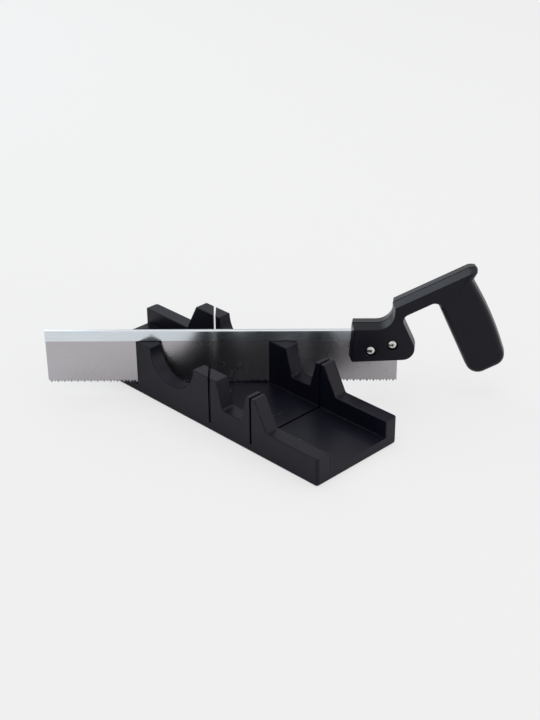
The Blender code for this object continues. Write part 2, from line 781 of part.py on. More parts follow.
def make_rear_half(guide, material):
    """Build the far half: hexagonal pockets for the nuts, and the two pegs."""
    half = make_half("handle_rear_half", 1, guide, material)
    cut_recesses(half, "rear", 1, guide)
    outside = HALF_HANDLE + OVERRUN
    seat = HALF_HANDLE - NUT_POCKET_DEPTH
    screws = screw_centres()
    bore_half(half, "rear_hole", guide, -OVERRUN, outside, SHANK_HOLE_RADIUS, screws)
    pocket_radius = hexagon_radius(NUT_ACROSS_FLATS) + FIT_GAP
    for index, centre in enumerate(screws):
        name = f"nut_pocket_{index + 1}"
        pocket = make_bore(name, centre, pocket_radius, seat, outside, NUT_SIDES)
        pocket.parent = guide
        add_boolean(half, pocket, 'DIFFERENCE')
    for index, centre in enumerate(peg_places()):
        tip = -SEAM - PEG_LENGTH
        peg = make_bore(f"peg_{index + 1}", centre, PEG_RADIUS, tip, OVERRUN)
        peg.parent = guide
        add_boolean(half, peg, 'UNION')
    return half


def hexagon_radius(across_flats):
    """Return the distance from a hexagon's centre to its corners."""
    return across_flats / math.sqrt(3)


def screw_profile(head_base):
    """Return the turned profile of a round-headed screw, from its tip to the crown."""
    tip = SCREW_TIP_INSET - HALF_HANDLE
    crown = HEAD_HEIGHT - HEAD_RIM
    profile = [(0, tip), (SHANK_RADIUS, tip), (SHANK_RADIUS, head_base), (HEAD_RADIUS, head_base)]
    for step in range(SMALL_ARC_STEPS):
        angle = math.pi / 2 * step / SMALL_ARC_STEPS
        height = head_base + HEAD_RIM + crown * math.sin(angle)
        profile.append((HEAD_RADIUS * math.cos(angle), height))
    return profile + [(0, head_base + HEAD_HEIGHT)]


def make_drive(name, top):
    """Return the cross-shaped tool for a screw head's recess."""
    reach, half = DRIVE_ARM_LENGTH, DRIVE_ARM_WIDTH / 2
    base = top - DRIVE_DEPTH
    quarter = [Vector((reach, half, base)), Vector((half, half, base)), Vector((half, reach, base))]
    outline = []
    for turn in range(4):
        quarter_turn = Matrix.Rotation(math.pi / 2 * turn, 3, 'Z')
        outline += [quarter_turn @ point for point in quarter]
    mesh_builder = bmesh.new()
    extrude_outline(mesh_builder, outline, Vector((0, 0, DRIVE_DEPTH + OVERRUN)))
    return mark_cutter(add_object(name, mesh_builder))


def make_screw(index, centre, guide, material):
    """Build one screw, with its head in the front half's counterbore."""
    head_base = HALF_HANDLE - COUNTERBORE_DEPTH + FIT_GAP
    mesh_builder = bmesh.new()
    turned_solid(mesh_builder, screw_profile(head_base), ROUND_STEPS)
    screw = add_object(f"handle_screw_{index}", mesh_builder, material)
    screw.data.shade_smooth()
    screw.data.set_sharp_from_angle(angle=CRISP_EDGE_TURN)
    drive = make_drive(f"screw_drive_{index}", head_base + HEAD_HEIGHT)
    add_boolean(screw, drive, 'DIFFERENCE')
    for item in (screw, drive):
        item.parent = guide
        item.location = (centre[0], 0, centre[1])
        item.rotation_euler = (math.pi / 2, 0, 0)
    return screw


def make_nut(index, centre, guide, material):
    """Build one hexagonal nut, seated in the rear half's pocket."""
    seat = HALF_HANDLE - NUT_POCKET_DEPTH + FIT_GAP
    mesh_builder = bmesh.new()
    cylinder(mesh_builder, hexagon_radius(NUT_ACROSS_FLATS), seat, seat + NUT_HEIGHT, NUT_SIDES)
    nut = add_object(f"handle_nut_{index}", mesh_builder, material)
    nut.parent = guide
    nut.location = (centre[0], 0, centre[1])
    nut.rotation_euler = (-math.pi / 2, 0, 0)
    bore = make_bore(f"nut_hole_{index}", centre, SHANK_HOLE_RADIUS, 0, HALF_HANDLE + OVERRUN)
    bore.parent = guide
    add_boolean(nut, bore, 'DIFFERENCE')
    return nut


def make_saw():
    """Build every piece of the saw on its guide."""
    steel = make_material("brushed_blade_steel", (0.42, 0.41, 0.40), 0.32, 1.0)
    bright = make_material("bright_back_steel", (0.55, 0.57, 0.60), 0.22, 1.0)
    plastic = make_material("handle_black_plastic", (0.018, 0.018, 0.021), 0.42, 0.0)
    zinc = make_material("zinc_fastener", (0.66, 0.66, 0.64), 0.25, 1.0)
    guide = make_saw_guide()
    make_blade(guide, steel)
    make_back(guide, bright)
    make_front_half(guide, plastic)
    make_rear_half(guide, plastic)
    for index, centre in enumerate(screw_centres(), start=1):
        make_screw(index, centre, guide, zinc)
        make_nut(index, centre, guide, zinc)


def main():
    """Build the mitre box and its saw."""
    clear_scene()
    make_mitre_box(make_material("box_black_plastic", (0.022, 0.022, 0.026), 0.5, 0.0))
    make_saw()


main()
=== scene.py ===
"""Finished surfaces, floor, lamps and camera for a mitre box with its back saw.

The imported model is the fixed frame. Each operator makes one piece, or one group of like
pieces, round it in metres, and the sidebar panel lists them in the order they are made.
"""

import json
import math

import bmesh
import bpy
from bpy.props import FloatProperty, FloatVectorProperty, PointerProperty
from mathutils import Matrix, Vector


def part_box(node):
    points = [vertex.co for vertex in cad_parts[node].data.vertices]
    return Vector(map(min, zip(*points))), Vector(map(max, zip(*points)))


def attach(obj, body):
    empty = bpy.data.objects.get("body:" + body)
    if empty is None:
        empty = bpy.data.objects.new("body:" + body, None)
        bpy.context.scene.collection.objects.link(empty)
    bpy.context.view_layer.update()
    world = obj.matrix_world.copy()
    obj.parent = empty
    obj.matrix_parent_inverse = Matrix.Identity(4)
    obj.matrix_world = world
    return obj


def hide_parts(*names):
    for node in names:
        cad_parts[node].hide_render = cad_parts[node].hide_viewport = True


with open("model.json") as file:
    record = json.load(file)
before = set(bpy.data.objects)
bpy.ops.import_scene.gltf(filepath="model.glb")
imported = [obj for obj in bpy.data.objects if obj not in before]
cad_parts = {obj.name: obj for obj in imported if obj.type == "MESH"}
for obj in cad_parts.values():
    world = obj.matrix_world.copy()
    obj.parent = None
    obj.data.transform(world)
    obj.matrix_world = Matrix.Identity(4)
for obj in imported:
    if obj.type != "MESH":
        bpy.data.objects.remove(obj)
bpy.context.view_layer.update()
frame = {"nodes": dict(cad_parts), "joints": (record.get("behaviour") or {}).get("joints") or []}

bl_info = {
    "name": "Mitre Box and Back Saw",
    "version": (1, 0, 0),
    "blender": (4, 5, 0),
    "location": "3D View > Sidebar > Mitre Box",
    "description": "Builds the finished surfaces of a moulded mitre box and its back saw",
    "category": "Object",
}

SAW_DIRECTION = Vector(frame["joints"][0]["axis"])
SAW_ANGLE = math.atan2(SAW_DIRECTION.y, SAW_DIRECTION.x)

# Distances for merging points and for telling whether a point lies on a plane
MERGE_DISTANCE = 0.00001
ON_PLANE = 0.00005
OVERRUN = 0.004
# How sharp an edge is before it is shaded as one, before it is rounded, and at a recess
SHARP_ANGLE = math.radians(38)
CRISP_ANGLE = math.radians(25)
RIM_ANGLE = math.radians(60)
DRIVE_ANGLE = math.radians(40)
# How finely the round shapes are drawn
FILLET_SEGMENTS = 5
SCOOP_SEGMENTS = 96
GATE_STEPS = 48
HOLE_SEGMENTS = 48
RECESS_SEGMENTS = 64
HANDLE_ARC_STEPS = 10
HEAD_STEPS = 64
CROWN_STEPS = 12
THREAD_STEPS = 24
NUT_STEPS = 72
FLOOR_SEGMENTS = 96
# Plastic: how far its gloss strays, and what rubbing, dust and scratches do to it
PLASTIC_SPECULAR = 0.2
GLOSS_BELOW = 0.05
GLOSS_ABOVE = 0.06
CLOUD_SHARE = 0.7
RUBBED_POLISH = 0.1
DUST_DULLING = 0.4
SPECK_COVER = 0.5
SCORED_COVER = 0.3
# Rubbed patches: the noise where they start, how far the amount lowers it, and their soft edge
PATCH_START = 0.75
PATCH_REACH = 0.5
PATCH_SOFTNESS = 0.2
# Scratches: how the pattern of drawn lines is stretched for them, and their soft edge
SCRATCH_STRETCH = (1.7, 0.31, 0.31)
SCRATCH_SOFTNESS = 0.06
# Steel and zinc: relief in metres, and how strongly the marks show
BRUSHING_DEPTH = 0.0000012
SCRATCH_DULLING = 0.06
STAIN_COVER = 0.5
SPOT_SIZE = 0.02
SPOT_COVER = 0.2
TOOTH_COVER = 0.45
PLATING_DEPTH = 0.000004
ZINC_GLOSS_BELOW = 0.08
ZINC_GLOSS_RANGE = 0.18
# Floor: its darker patches, and how far out the camera starts and ends to see it evenly
FLOOR_TINT_SHARE = 0.99
EVEN_FROM = 0.5
EVEN_TO = 2.5


def saw_place():
    """Return the matrix of the saw's frame: X along the blade to its heel, Y away from the user."""
    low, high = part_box("saw_back")
    middle = (low + high) / 2
    crossing = middle.x - middle.y / math.tan(SAW_ANGLE)
    return Matrix.Translation((crossing, 0, 0)) @ Matrix.Rotation(SAW_ANGLE, 4, 'Z')


def box_along_saw(node):
    """Return a CAD node's lowest and highest corners in the saw's frame."""
    to_saw = saw_place().inverted()
    points = [to_saw @ vertex.co for vertex in frame["nodes"][node].data.vertices]
    low = Vector([min(point[axis] for point in points) for axis in range(3)])
    high = Vector([max(point[axis] for point in points) for axis in range(3)])
    return low, high


SAW_PLACE = saw_place()
CROSSING_X = SAW_PLACE.translation.x
BOX_LOW, BOX_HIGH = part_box("mitre_box")
BLADE_LOW, BLADE_HIGH = box_along_saw("saw_blade")
BACK_LOW, BACK_HIGH = box_along_saw("saw_back")


def length(name, description, default):
    """Return a length property in metres."""
    return FloatProperty(
        name=name, description=description, default=default, min=0.0,
        unit='LENGTH', subtype='DISTANCE', precision=5,
    )


def angle(name, description, degrees):
    """Return an angle property, given in degrees."""
    return FloatProperty(
        name=name, description=description, default=math.radians(degrees),
        unit='ROTATION', subtype='ANGLE',
    )


def colour(name, description, default):
    """Return a colour property."""
    return FloatVectorProperty(
        name=name, description=description, default=default, min=0.0, max=1.0, size=3,
        subtype='COLOR',
    )


def share(name, description, default):
    """Return a property between nothing and all."""
    return FloatProperty(
        name=name, description=description, default=default, min=0.0, max=1.0, subtype='FACTOR',
    )


def position(name, description, default):
    """Return a point in space, in metres."""
    return FloatVectorProperty(
        name=name, description=description, default=default, size=3, subtype='TRANSLATION',
        unit='LENGTH',
    )


def power(name, description, default):
    """Return a lamp's power in watts."""
    return FloatProperty(
        name=name, description=description, default=default, min=0.0, unit='POWER',
    )


class TroughSizes(bpy.types.PropertyGroup):
    """Sizes of the moulded trough."""

    wall: length("Wall", "Thickness of each long wall", 0.0135)
    floor_top: length("Floor", "Height of the channel's floor", 0.010)
    low_wall: length("Low wall", "Height of the walls away from the posts", 0.026)
    cut_width: length("Cut width", "Width of each saw cut", 0.002)
    kerf_depth: length("Kerf depth", "Depth of the cuts in the floor", 0.002)
    square_cut_x: length("Square cut", "Place of the square cut along the trough", 0.0753)
    inner_post: length("Inner post", "From a mitre cut to the scoop, along the wall", 0.01325)
    left_post: length("Left post", "From the left mitre cut to its post's outer end", 0.01775)
    right_post: length("Right post", "From the right mitre cut to its post's outer end", 0.01525)
    square_post: length("Square post", "Half the square cut's post, along the wall", 0.0049)
    gentle_flank: length("Gentle flank", "Run of the flanks beside the low ends", 0.0132)
    steep_flank: length("Steep flank", "Run of the flanks between the posts", 0.0068)
    scoop_depth: length("Scoop depth", "Depth of the round scoop between the mitre posts", 0.0265)
    edge_radius: length("Edge radius", "Rounding of the walls' edges", 0.0009)
    corner_radius: length("Corner radius", "Rounding of the four upright corners", 0.003)
    rim_radius: length("Rim radius", "Rounding of the rim that stands on the bench", 0.0004)
    slot_radius: length("Slot radius", "Rounding of the saw cuts' edges", 0.00022)
    foot_fillet: length("Foot fillet", "Fillet between floor and walls", 0.0005)
    flank_fillet: length("Flank fillet", "Fillet at the foot of each flank", 0.0014)
    wall_skin: length("Wall skin", "Wall left round the coring", 0.0025)
    floor_skin: length("Floor skin", "Floor left above the coring", 0.0035)
    cut_skin: length("Cut skin", "Web left on each side of a cut", 0.002)
    rib: length("Rib", "Thickness of the ribs below", 0.0022)
    rib_spacing: length("Rib spacing", "Largest distance between ribs", 0.034)
    gate_radius: length("Gate radius", "Radius of the mould gate's dimple", 0.0032)
    gate_nub: length("Gate nub", "Radius of the nub in the dimple", 0.0011)
    gate_depth: length("Gate depth", "Depth of the dimple", 0.0006)


class SawSizes(bpy.types.PropertyGroup):
    """Sizes of the steel parts and the fasteners."""

    tooth_depth: length("Tooth depth", "Height of the teeth", 0.0024)
    sheet: length("Back's sheet", "Thickness of the strip that is folded over the blade", 0.00105)
    bend_radius: length("Bend radius", "Outer radius of the fold", 0.001)
    strip_edge: length("Strip edge", "Rounding of the strip's cut edges", 0.00018)
    fit_gap: length("Fit gap", "Clearance between parts that touch", 0.0003)
    head_radius: length("Head radius", "Radius of the screw heads", 0.0039)
    head_rim: length("Head rim", "Height of the head's cylindrical rim", 0.0007)
    head_height: length("Head height", "Height of the screw heads", 0.0022)
    shank_radius: length("Shank radius", "Radius over the thread", 0.002)
    thread_depth: length("Thread depth", "Depth of the thread", 0.0003)
    thread_pitch: length("Thread pitch", "Rise of the thread in one turn", 0.0007)
    thread_length: length("Thread length", "Threaded end of the screw", 0.0056)
    tip_inset: length("Tip inset", "From the handle's far face to the screw's tip", 0.001)
    drive_arm: length("Drive arm", "Reach of the cross recess", 0.0027)
    drive_width: length("Drive width", "Width of the cross recess at the top", 0.00125)
    drive_depth: length("Drive depth", "Depth of the cross recess", 0.0016)
    nut_flats: length("Nut flats", "Width of the nuts across their flats", 0.007)
    nut_height: length("Nut height", "Height of the nuts", 0.0032)
    nut_chamfer: length("Nut chamfer", "Depth of the chamfer at the nuts' corners", 0.0005)


class HandleSizes(bpy.types.PropertyGroup):
    """Sizes of the two-part handle, from the block's upper front corner."""

    blade_gripped: length("Blade gripped", "Length of blade in the handle", 0.0402)
    cover: length("Cover", "Height of the block above the folded back", 0.0064)
    block_height: length("Block height", "Height of the block that holds the blade", 0.0342)
    block_lean: angle("Block lean", "Lean of the block's front end", 3.8)
    block_top: length("Block top", "Length of the block's top", 0.0345)
    block_back: length("Block back", "Start of the block's back side", 0.0470)
    block_foot: angle("Block foot", "Slope of the block's underside", 2.3)
    neck_rise: length("Neck rise", "Height of the neck", 0.0192)
    arm_angle: angle("Arm angle", "Slope of the arm", 27.0)
    arm_depth: length("Arm depth", "Depth of the arm", 0.0134)
    horn_rise: length("Horn rise", "Height of the horn's top", 0.0519)
    horn_reach: length("Horn reach", "How far the horn reaches back", 0.1062)
    horn_under: angle("Horn underside", "Slope of the horn's underside", 64.1)
    grip_angle: angle("Grip angle", "Slope of the grip's inner side from upright", 24.3)
    finger_gap: length("Finger gap", "Gap between block and grip", 0.0312)
    back_reach: length("Back reach", "Reach of the grip's back below the horn", 0.1082)
    back_rise: length("Back rise", "Height of that point", 0.030)
    back_angle: angle("Back angle", "Slope of the grip's back below the horn", 29.3)
    heel_reach: length("Heel reach", "Reach of the grip's back above its foot", 0.1302)
    heel_drop: length("Heel drop", "Depth of that point", 0.020)
    heel_angle: angle("Heel angle", "Slope of the grip's back above its foot", 19.5)
    grip_drop: length("Grip drop", "Depth of the grip's foot", 0.0502)
    grip_foot: angle("Grip foot", "Slope of the grip's foot", 27.5)
    thickness: length("Thickness", "Thickness of the two halves together", 0.023)
    draft: length("Draft", "How far each side leans in from seam to face", 0.0015)
    seam_depth: length("Seam depth", "Depth of the groove along the seam", 0.0007)
    seam_width: length("Seam width", "Half width of the groove along the seam", 0.00045)
    block_edge: length("Block edge", "Rounding of the block's and arm's edges", 0.0008)
    horn_top_edge: length("Horn top edge", "Rounding of the horn's upper edges", 0.0028)
    horn_under_edge: length("Horn lower edge", "Rounding of the horn's lower edges", 0.0054)
    grip_edge: length("Grip edge", "Rounding of the grip's edges", 0.0048)
    neck_radius: length("Neck radius", "Fillet of the neck", 0.013)
    heel_radius: length("Heel radius", "Rounding where the arm starts", 0.0015)
    horn_radius: length("Horn radius", "Rounding where arm and horn meet", 0.0107)
    tip_radius: length("Tip radius", "Rounding of the horn's tip", 0.0022)
    notch_radius: length("Notch radius", "Fillet below the horn", 0.001)
    bow_radius: length("Bow radius", "Bow of the grip's back", 0.295)
    grip_heel_radius: length("Grip heel radius", "Rounding of the grip's back corner", 0.0112)
    grip_front_radius: length("Grip front radius", "Rounding of the grip's front corner", 0.012)
    finger_radius: length("Finger radius", "Fillets of the finger gap", 0.005)
    block_back_radius: length("Block back radius", "Rounding of the block's lower corner", 0.0118)
    toe_radius: length("Toe radius", "Rounding of the block's lower front corner", 0.0035)
    top_radius: length("Top radius", "Rounding of the block's upper front corner", 0.0012)
    least_radius: length("Least radius", "Smallest rounding of a corner", 0.0003)
    counterbore: length("Counterbore", "Radius of the recesses for the heads", 0.0049)
    counterbore_depth: length("Counterbore depth", "Depth of those recesses", 0.0026)
    pocket_depth: length("Pocket depth", "Depth of the recesses for the nuts", 0.0038)
    first_screw: FloatVectorProperty(
        name="First screw", description="Place of the first screw, along and down",
        default=(0.0161, 0.0220), size=2, unit='LENGTH',
    )
    second_screw: FloatVectorProperty(
        name="Second screw", description="Place of the second screw, along and down",
        default=(0.0346, 0.0163), size=2, unit='LENGTH',
    )
    bore_edge: length("Bore edge", "Rounding of the recesses' edges", 0.0003)


class FinishSettings(bpy.types.PropertyGroup):
    """Colours and gloss of the surfaces."""

    trough_colour: colour("Trough", "Plastic of the trough", (0.0036, 0.0038, 0.0100))
    handle_colour: colour("Handle", "Plastic of the handle", (0.0030, 0.0033, 0.0080))
    rubbed_colour: colour("Rubbed plastic", "Plastic where it is rubbed", (0.018, 0.018, 0.021))
    # Painted highlight: the pale colour laid round the gate's nub.
    gate_highlight_colour: colour("Whitened plastic", "Plastic torn at the gate", (0.32, 0.32, 0.31))
    dust_colour: colour("Dust", "Dust on upward faces", (0.30, 0.29, 0.28))
    blade_light: colour("Blade, light", "Light streaks of the blade's steel", (0.50, 0.48, 0.50))
    blade_dark: colour("Blade, dark", "Dark streaks of the blade's steel", (0.44, 0.42, 0.44))
    # The colour that the band along the teeth is darkened towards.
    tooth_colour: colour("Teeth", "Hardened steel of the teeth", (0.20, 0.19, 0.20))
    stain_colour: colour("Stain", "Faint marks on the blade", (0.30, 0.28, 0.27))
    back_light: colour("Back, light", "Light grain of the folded back", (0.74, 0.79, 0.83))
    back_dark: colour("Back, dark", "Dark grain of the folded back", (0.62, 0.67, 0.71))
    zinc_light: colour("Zinc, light", "Bright zinc plating", (0.80, 0.80, 0.77))
    zinc_dark: colour("Zinc, dark", "Duller zinc plating", (0.58, 0.58, 0.56))
    zinc_rubbed: colour("Zinc, rubbed", "Plating on rubbed edges", (0.90, 0.90, 0.89))
    # Painted shade: a dark colour laid on the faces of the cross recess, where shade falls.
    zinc_recess_shade: colour("Zinc, recess", "Dull plating in the cross recess", (0.10, 0.10, 0.10))
    trough_roughness: share("Trough roughness", "Roughness of the trough", 0.36)
    handle_roughness: share("Handle roughness", "Roughness of the handle", 0.32)
    blade_roughness: share("Blade roughness", "Roughness of the blade", 0.27)
    back_roughness: share("Back roughness", "Roughness of the folded back", 0.23)
    zinc_roughness: share("Zinc roughness", "Roughness of the fasteners", 0.22)
    blade_brushing: share("Blade brushing", "How far the blade smears reflections upright", 0.6)
    back_brushing: share("Back brushing", "How far the back smears reflections upright", 0.45)


class StudioSettings(bpy.types.PropertyGroup):
    """Camera, lamps and floor."""

    camera_place: position("Camera place", "Place of the camera", (0.77929, -0.71981, 0.61037))
    azimuth: angle("Azimuth", "Direction of the camera round the object", 45.36)
    elevation: angle("Elevation", "Height of the camera above the horizon", 28.31)
    roll: angle("Roll", "Tilt of the camera about its view", -0.405)
    lens: FloatProperty(
        name="Lens", description="Focal length", default=70.07, min=1.0, unit='CAMERA',
    )
    sensor: FloatProperty(
        name="Sensor", description="Height of the sensor", default=36.0, min=1.0, unit='CAMERA',
    )
    floor_radius: length("Floor radius", "Radius of the round floor", 40.0)
    floor_colour: colour("Floor", "Pale floor", (0.90, 0.90, 0.905))
    backdrop_colour: colour("Backdrop", "What the camera sees past the floor", (0.866, 0.866, 0.868))
    evenness: share("Evenness", "How evenly the camera sees the floor", 0.78)
    room_light: share("Room light", "Strength of the even light from all sides", 0.72)
    ceiling_place: position("Ceiling place", "Place of the wide lamp above", (0.1, 0.2, 1.8))
    ceiling_size: length("Ceiling size", "Width of the lamp above", 2.0)
    ceiling_power: power("Ceiling power", "Power of the lamp above", 9.0)
    ceiling_tint: colour("Ceiling tint", "Colour of the lamp above", (1.0, 1.0, 1.0))
    left_place: position("Left place", "Place of the cool lamp on the left", (-1.6, 0.3, 0.8))
    left_size: length("Left size", "Width of the lamp on the left", 1.2)
    left_power: power("Left power", "Power of the lamp on the left", 7.0)
    left_tint: colour("Left tint", "Colour of the lamp on the left", (0.75, 0.88, 1.0))
    right_place: position("Right place", "Place of the warm lamp on the right", (1.5, 1.1, 0.8))
    right_size: length("Right size", "Width of the lamp on the right", 1.2)
    right_power: power("Right power", "Power of the lamp on the right", 5.0)
    right_tint: colour("Right tint", "Colour of the lamp on the right", (1.0, 0.86, 0.78))


# Meshes and pieces


def finish_piece(name, mesh_builder, material, body, nodes):
    """Turn a bmesh into a finished piece that stands for CAD nodes and rides on a body."""
    mesh = bpy.data.meshes.new(name)
    mesh_builder.to_mesh(mesh)
    mesh_builder.free()
    mesh.materials.append(material)
    mesh.shade_smooth()
    mesh.set_sharp_from_angle(angle=SHARP_ANGLE)
    piece = bpy.data.objects.new(name, mesh)
    bpy.context.scene.collection.objects.link(piece)
    normals = piece.modifiers.new("flat_faces_lead", 'WEIGHTED_NORMAL')
    normals.keep_sharp = True
    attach(piece, body)
    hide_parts(*nodes)
    return piece


def as_tool(mesh_builder, place=None):
    """Turn a bmesh into a passing object for a Boolean."""
    if place is not None:
        bmesh.ops.transform(mesh_builder, matrix=place, verts=mesh_builder.verts)
    mesh = bpy.data.meshes.new("tool")
    mesh_builder.to_mesh(mesh)
    mesh_builder.free()
    tool = bpy.data.objects.new("tool", mesh)
    bpy.context.scene.collection.objects.link(tool)
    return tool


def carved(mesh_builder, tools, operation='DIFFERENCE'):
    """Return a new bmesh: the given one with each tool cut away, joined on or kept in common."""
    body = as_tool(mesh_builder)
    for tool in tools:
        modifier = body.modifiers.new("carve", 'BOOLEAN')
        modifier.operation = operation
        modifier.solver = 'EXACT'
        modifier.object = tool
    evaluated = body.evaluated_get(bpy.context.evaluated_depsgraph_get())
    result = bmesh.new()
    result.from_mesh(evaluated.to_mesh())
    evaluated.to_mesh_clear()
    for item in [body, *tools]:
        bpy.data.objects.remove(item, do_unlink=True)
    bmesh.ops.remove_doubles(result, verts=result.verts, dist=MERGE_DISTANCE)
    return result


def prism(points, shift, rounded=(), radius=0.0):
    """Return a bmesh with a face through the points, given corners rounded, extruded by a vector."""
    mesh_builder = bmesh.new()
    verts = [mesh_builder.verts.new(point) for point in points]
    mesh_builder.faces.new(verts)
    if rounded:
        bmesh.ops.bevel(
            mesh_builder, geom=[verts[index] for index in rounded], offset=radius,
            offset_type='OFFSET', affect='VERTICES', segments=FILLET_SEGMENTS, profile=0.5, material=-1,
            clamp_overlap=True,
        )
    grown = bmesh.ops.extrude_face_region(mesh_builder, geom=mesh_builder.faces[:])
    moved = [part for part in grown["geom"] if isinstance(part, bmesh.types.BMVert)]
    bmesh.ops.translate(mesh_builder, verts=moved, vec=shift)
    bmesh.ops.recalc_face_normals(mesh_builder, faces=mesh_builder.faces)
    return mesh_builder


def block(low, high):
    """Return a bmesh with an upright box between two corners."""
    mesh_builder = bmesh.new()
    size = Vector(high) - Vector(low)
    middle = (Vector(high) + Vector(low)) / 2
    place = Matrix.Translation(middle) @ Matrix.Diagonal((*size, 1))
    bmesh.ops.create_cube(mesh_builder, size=1, matrix=place)
    return mesh_builder


def drum(radius, low, high, segments):
    """Return a bmesh with a closed cylinder about Z between two heights."""
    mesh_builder = bmesh.new()
    bmesh.ops.create_cone(
        mesh_builder, cap_ends=True, segments=segments, radius1=radius, radius2=radius,
        depth=high - low, matrix=Matrix.Translation((0, 0, (low + high) / 2)),
    )
    return mesh_builder


def lathe(profile, steps):
    """Return a bmesh turned about Z from (radius, height) pairs that end on the axis or close."""
    mesh_builder = bmesh.new()
    verts = [mesh_builder.verts.new((radius, 0, height)) for radius, height in profile]
    edges = [mesh_builder.edges.new(pair) for pair in zip(verts, verts[1:])]
    bmesh.ops.spin(
        mesh_builder, geom=verts + edges, cent=(0, 0, 0), axis=(0, 0, 1), angle=math.tau,
        steps=steps, use_merge=True,
    )
    bmesh.ops.remove_doubles(mesh_builder, verts=mesh_builder.verts, dist=MERGE_DISTANCE)
    bmesh.ops.recalc_face_normals(mesh_builder, faces=mesh_builder.faces)
    return mesh_builder


def soften(mesh_builder, edges, radius, segments):
    """Round edges with a bevel."""
    bmesh.ops.bevel(
        mesh_builder, geom=edges, offset=radius, offset_type='OFFSET', affect='EDGES',
        segments=segments, profile=0.5, material=-1,
    )


def is_crisp(edge, least=CRISP_ANGLE):
    """Tell whether an edge is convex and sharper than the steps of an arc."""
    return len(edge.link_faces) == 2 and edge.calc_face_angle_signed(0) > least


def both_ends(edge, test):
    """Tell whether a test holds at both ends of an edge."""
    return all(test(vert.co) for vert in edge.verts)


def note_edges(mesh_builder, strip=0.0006, turn=math.radians(8)):
    """Mark the narrow convex faces of rounded edges, where a surface wears first."""
    layer = mesh_builder.faces.layers.float.new("edge_wear")
    for face in mesh_builder.faces:
        width = 2 * face.calc_area() / face.calc_perimeter()
        convex = max(edge.calc_face_angle_signed(0) for edge in face.edges) > turn
        face[layer] = 1.0 if width < strip and convex else 0.0


def paint_recess_shade(mesh_builder, to_screw, saw, head_base):
    """Mark the faces of a screw's cross recess, which get painted shade."""
    layer = mesh_builder.faces.layers.float.new("recess")
    crown = saw.head_height - saw.head_rim
    for face in mesh_builder.faces:
        centre = to_screw @ face.calc_center_median()
        out = min(math.hypot(centre.x, centre.y) / saw.head_radius, 1.0)
        surface = head_base + saw.head_rim + crown * math.sqrt(1 - out * out)
        inside = head_base < centre.z < surface - saw.strip_edge and out < 0.8
        face[layer] = 1.0 if inside else 0.0


# Nodes


class Bench:
    """Places nodes in a tree and wires them."""

    def __init__(self, tree):
        self.tree = tree

    def add(self, kind, **settings):
        """Add a node with the given settings."""
        node = self.tree.nodes.new(kind)
        for key, value in settings.items():
            setattr(node, key, value)
        return node

    def feed(self, socket, value):
        """Wire a socket to another, or give it a plain value."""
        if isinstance(value, bpy.types.NodeSocket):
            self.tree.links.new(value, socket)
        else:
            socket.default_value = value

    def maths(self, operation, first, second=0.0, clamp=False):
        """Return one arithmetic step."""
        node = self.add('ShaderNodeMath', operation=operation, use_clamp=clamp)
        self.feed(node.inputs[0], first)
        self.feed(node.inputs[1], second)
        return node.outputs[0]

    def vector(self, operation, first, second):
        """Return one step of vector arithmetic."""
        node = self.add('ShaderNodeVectorMath', operation=operation)
        self.feed(node.inputs[0], first)
        self.feed(node.inputs[1], second)
        return node.outputs[0]

    def height(self, vector):
        """Return the Z part of a vector."""
        node = self.add('ShaderNodeSeparateXYZ')
        self.feed(node.inputs[0], vector)
        return node.outputs["Z"]

    def noise(self, vector, scale, detail=2.0):
        """Return a noise between 0 and 1."""
        node = self.add('ShaderNodeTexNoise')
        self.feed(node.inputs["Vector"], vector)
        self.feed(node.inputs["Scale"], scale)
        self.feed(node.inputs["Detail"], detail)
        return node.outputs["Fac"]

    def spots(self, vector, scale):
        """Return the distance to the nearest of scattered points."""
        node = self.add('ShaderNodeTexVoronoi')
        self.feed(node.inputs["Vector"], vector)
        self.feed(node.inputs["Scale"], scale)
        return node.outputs["Distance"]

    def span(self, value, low, high, bottom=0.0, top=1.0):
        """Stretch the part of a value between low and high to bottom and top."""
        node = self.add('ShaderNodeMapRange')
        for socket, item in zip(node.inputs, (value, low, high, bottom, top)):
            self.feed(socket, item)
        return node.outputs[0]

    def mix(self, factor, first, second):
        """Blend two colours."""
        node = self.add('ShaderNodeMix', data_type='RGBA')
        self.feed(node.inputs["Factor"], factor)
        colours = [socket for socket in node.inputs if socket.type == 'RGBA']
        for socket, item in zip(colours, (first, second)):
            self.feed(socket, item if isinstance(item, bpy.types.NodeSocket) else (*item, 1.0))
        return next(socket for socket in node.outputs if socket.type == 'RGBA')

    def group(self, tree, **values):
        """Place a node group with its own values and return its node."""
        node = self.add('ShaderNodeGroup', node_tree=tree)
        for key, value in values.items():
            self.feed(node.inputs[key.replace("_", " ").capitalize()], value)
        return node


def new_group(name, inputs, outputs):
    """Start a shader node group and return its bench, inputs and outputs."""
    tree = bpy.data.node_groups.new(name, 'ShaderNodeTree')
    for label, default in inputs:
        kind = 'NodeSocketVector' if label == "Vector" else 'NodeSocketFloat'
        socket = tree.interface.new_socket(label, in_out='INPUT', socket_type=kind)
        if label != "Vector":
            socket.default_value = default
    for label in outputs:
        tree.interface.new_socket(label, in_out='OUTPUT', socket_type='NodeSocketFloat')
    bench = Bench(tree)
    return bench, bench.add('NodeGroupInput').outputs, bench.add('NodeGroupOutput').inputs


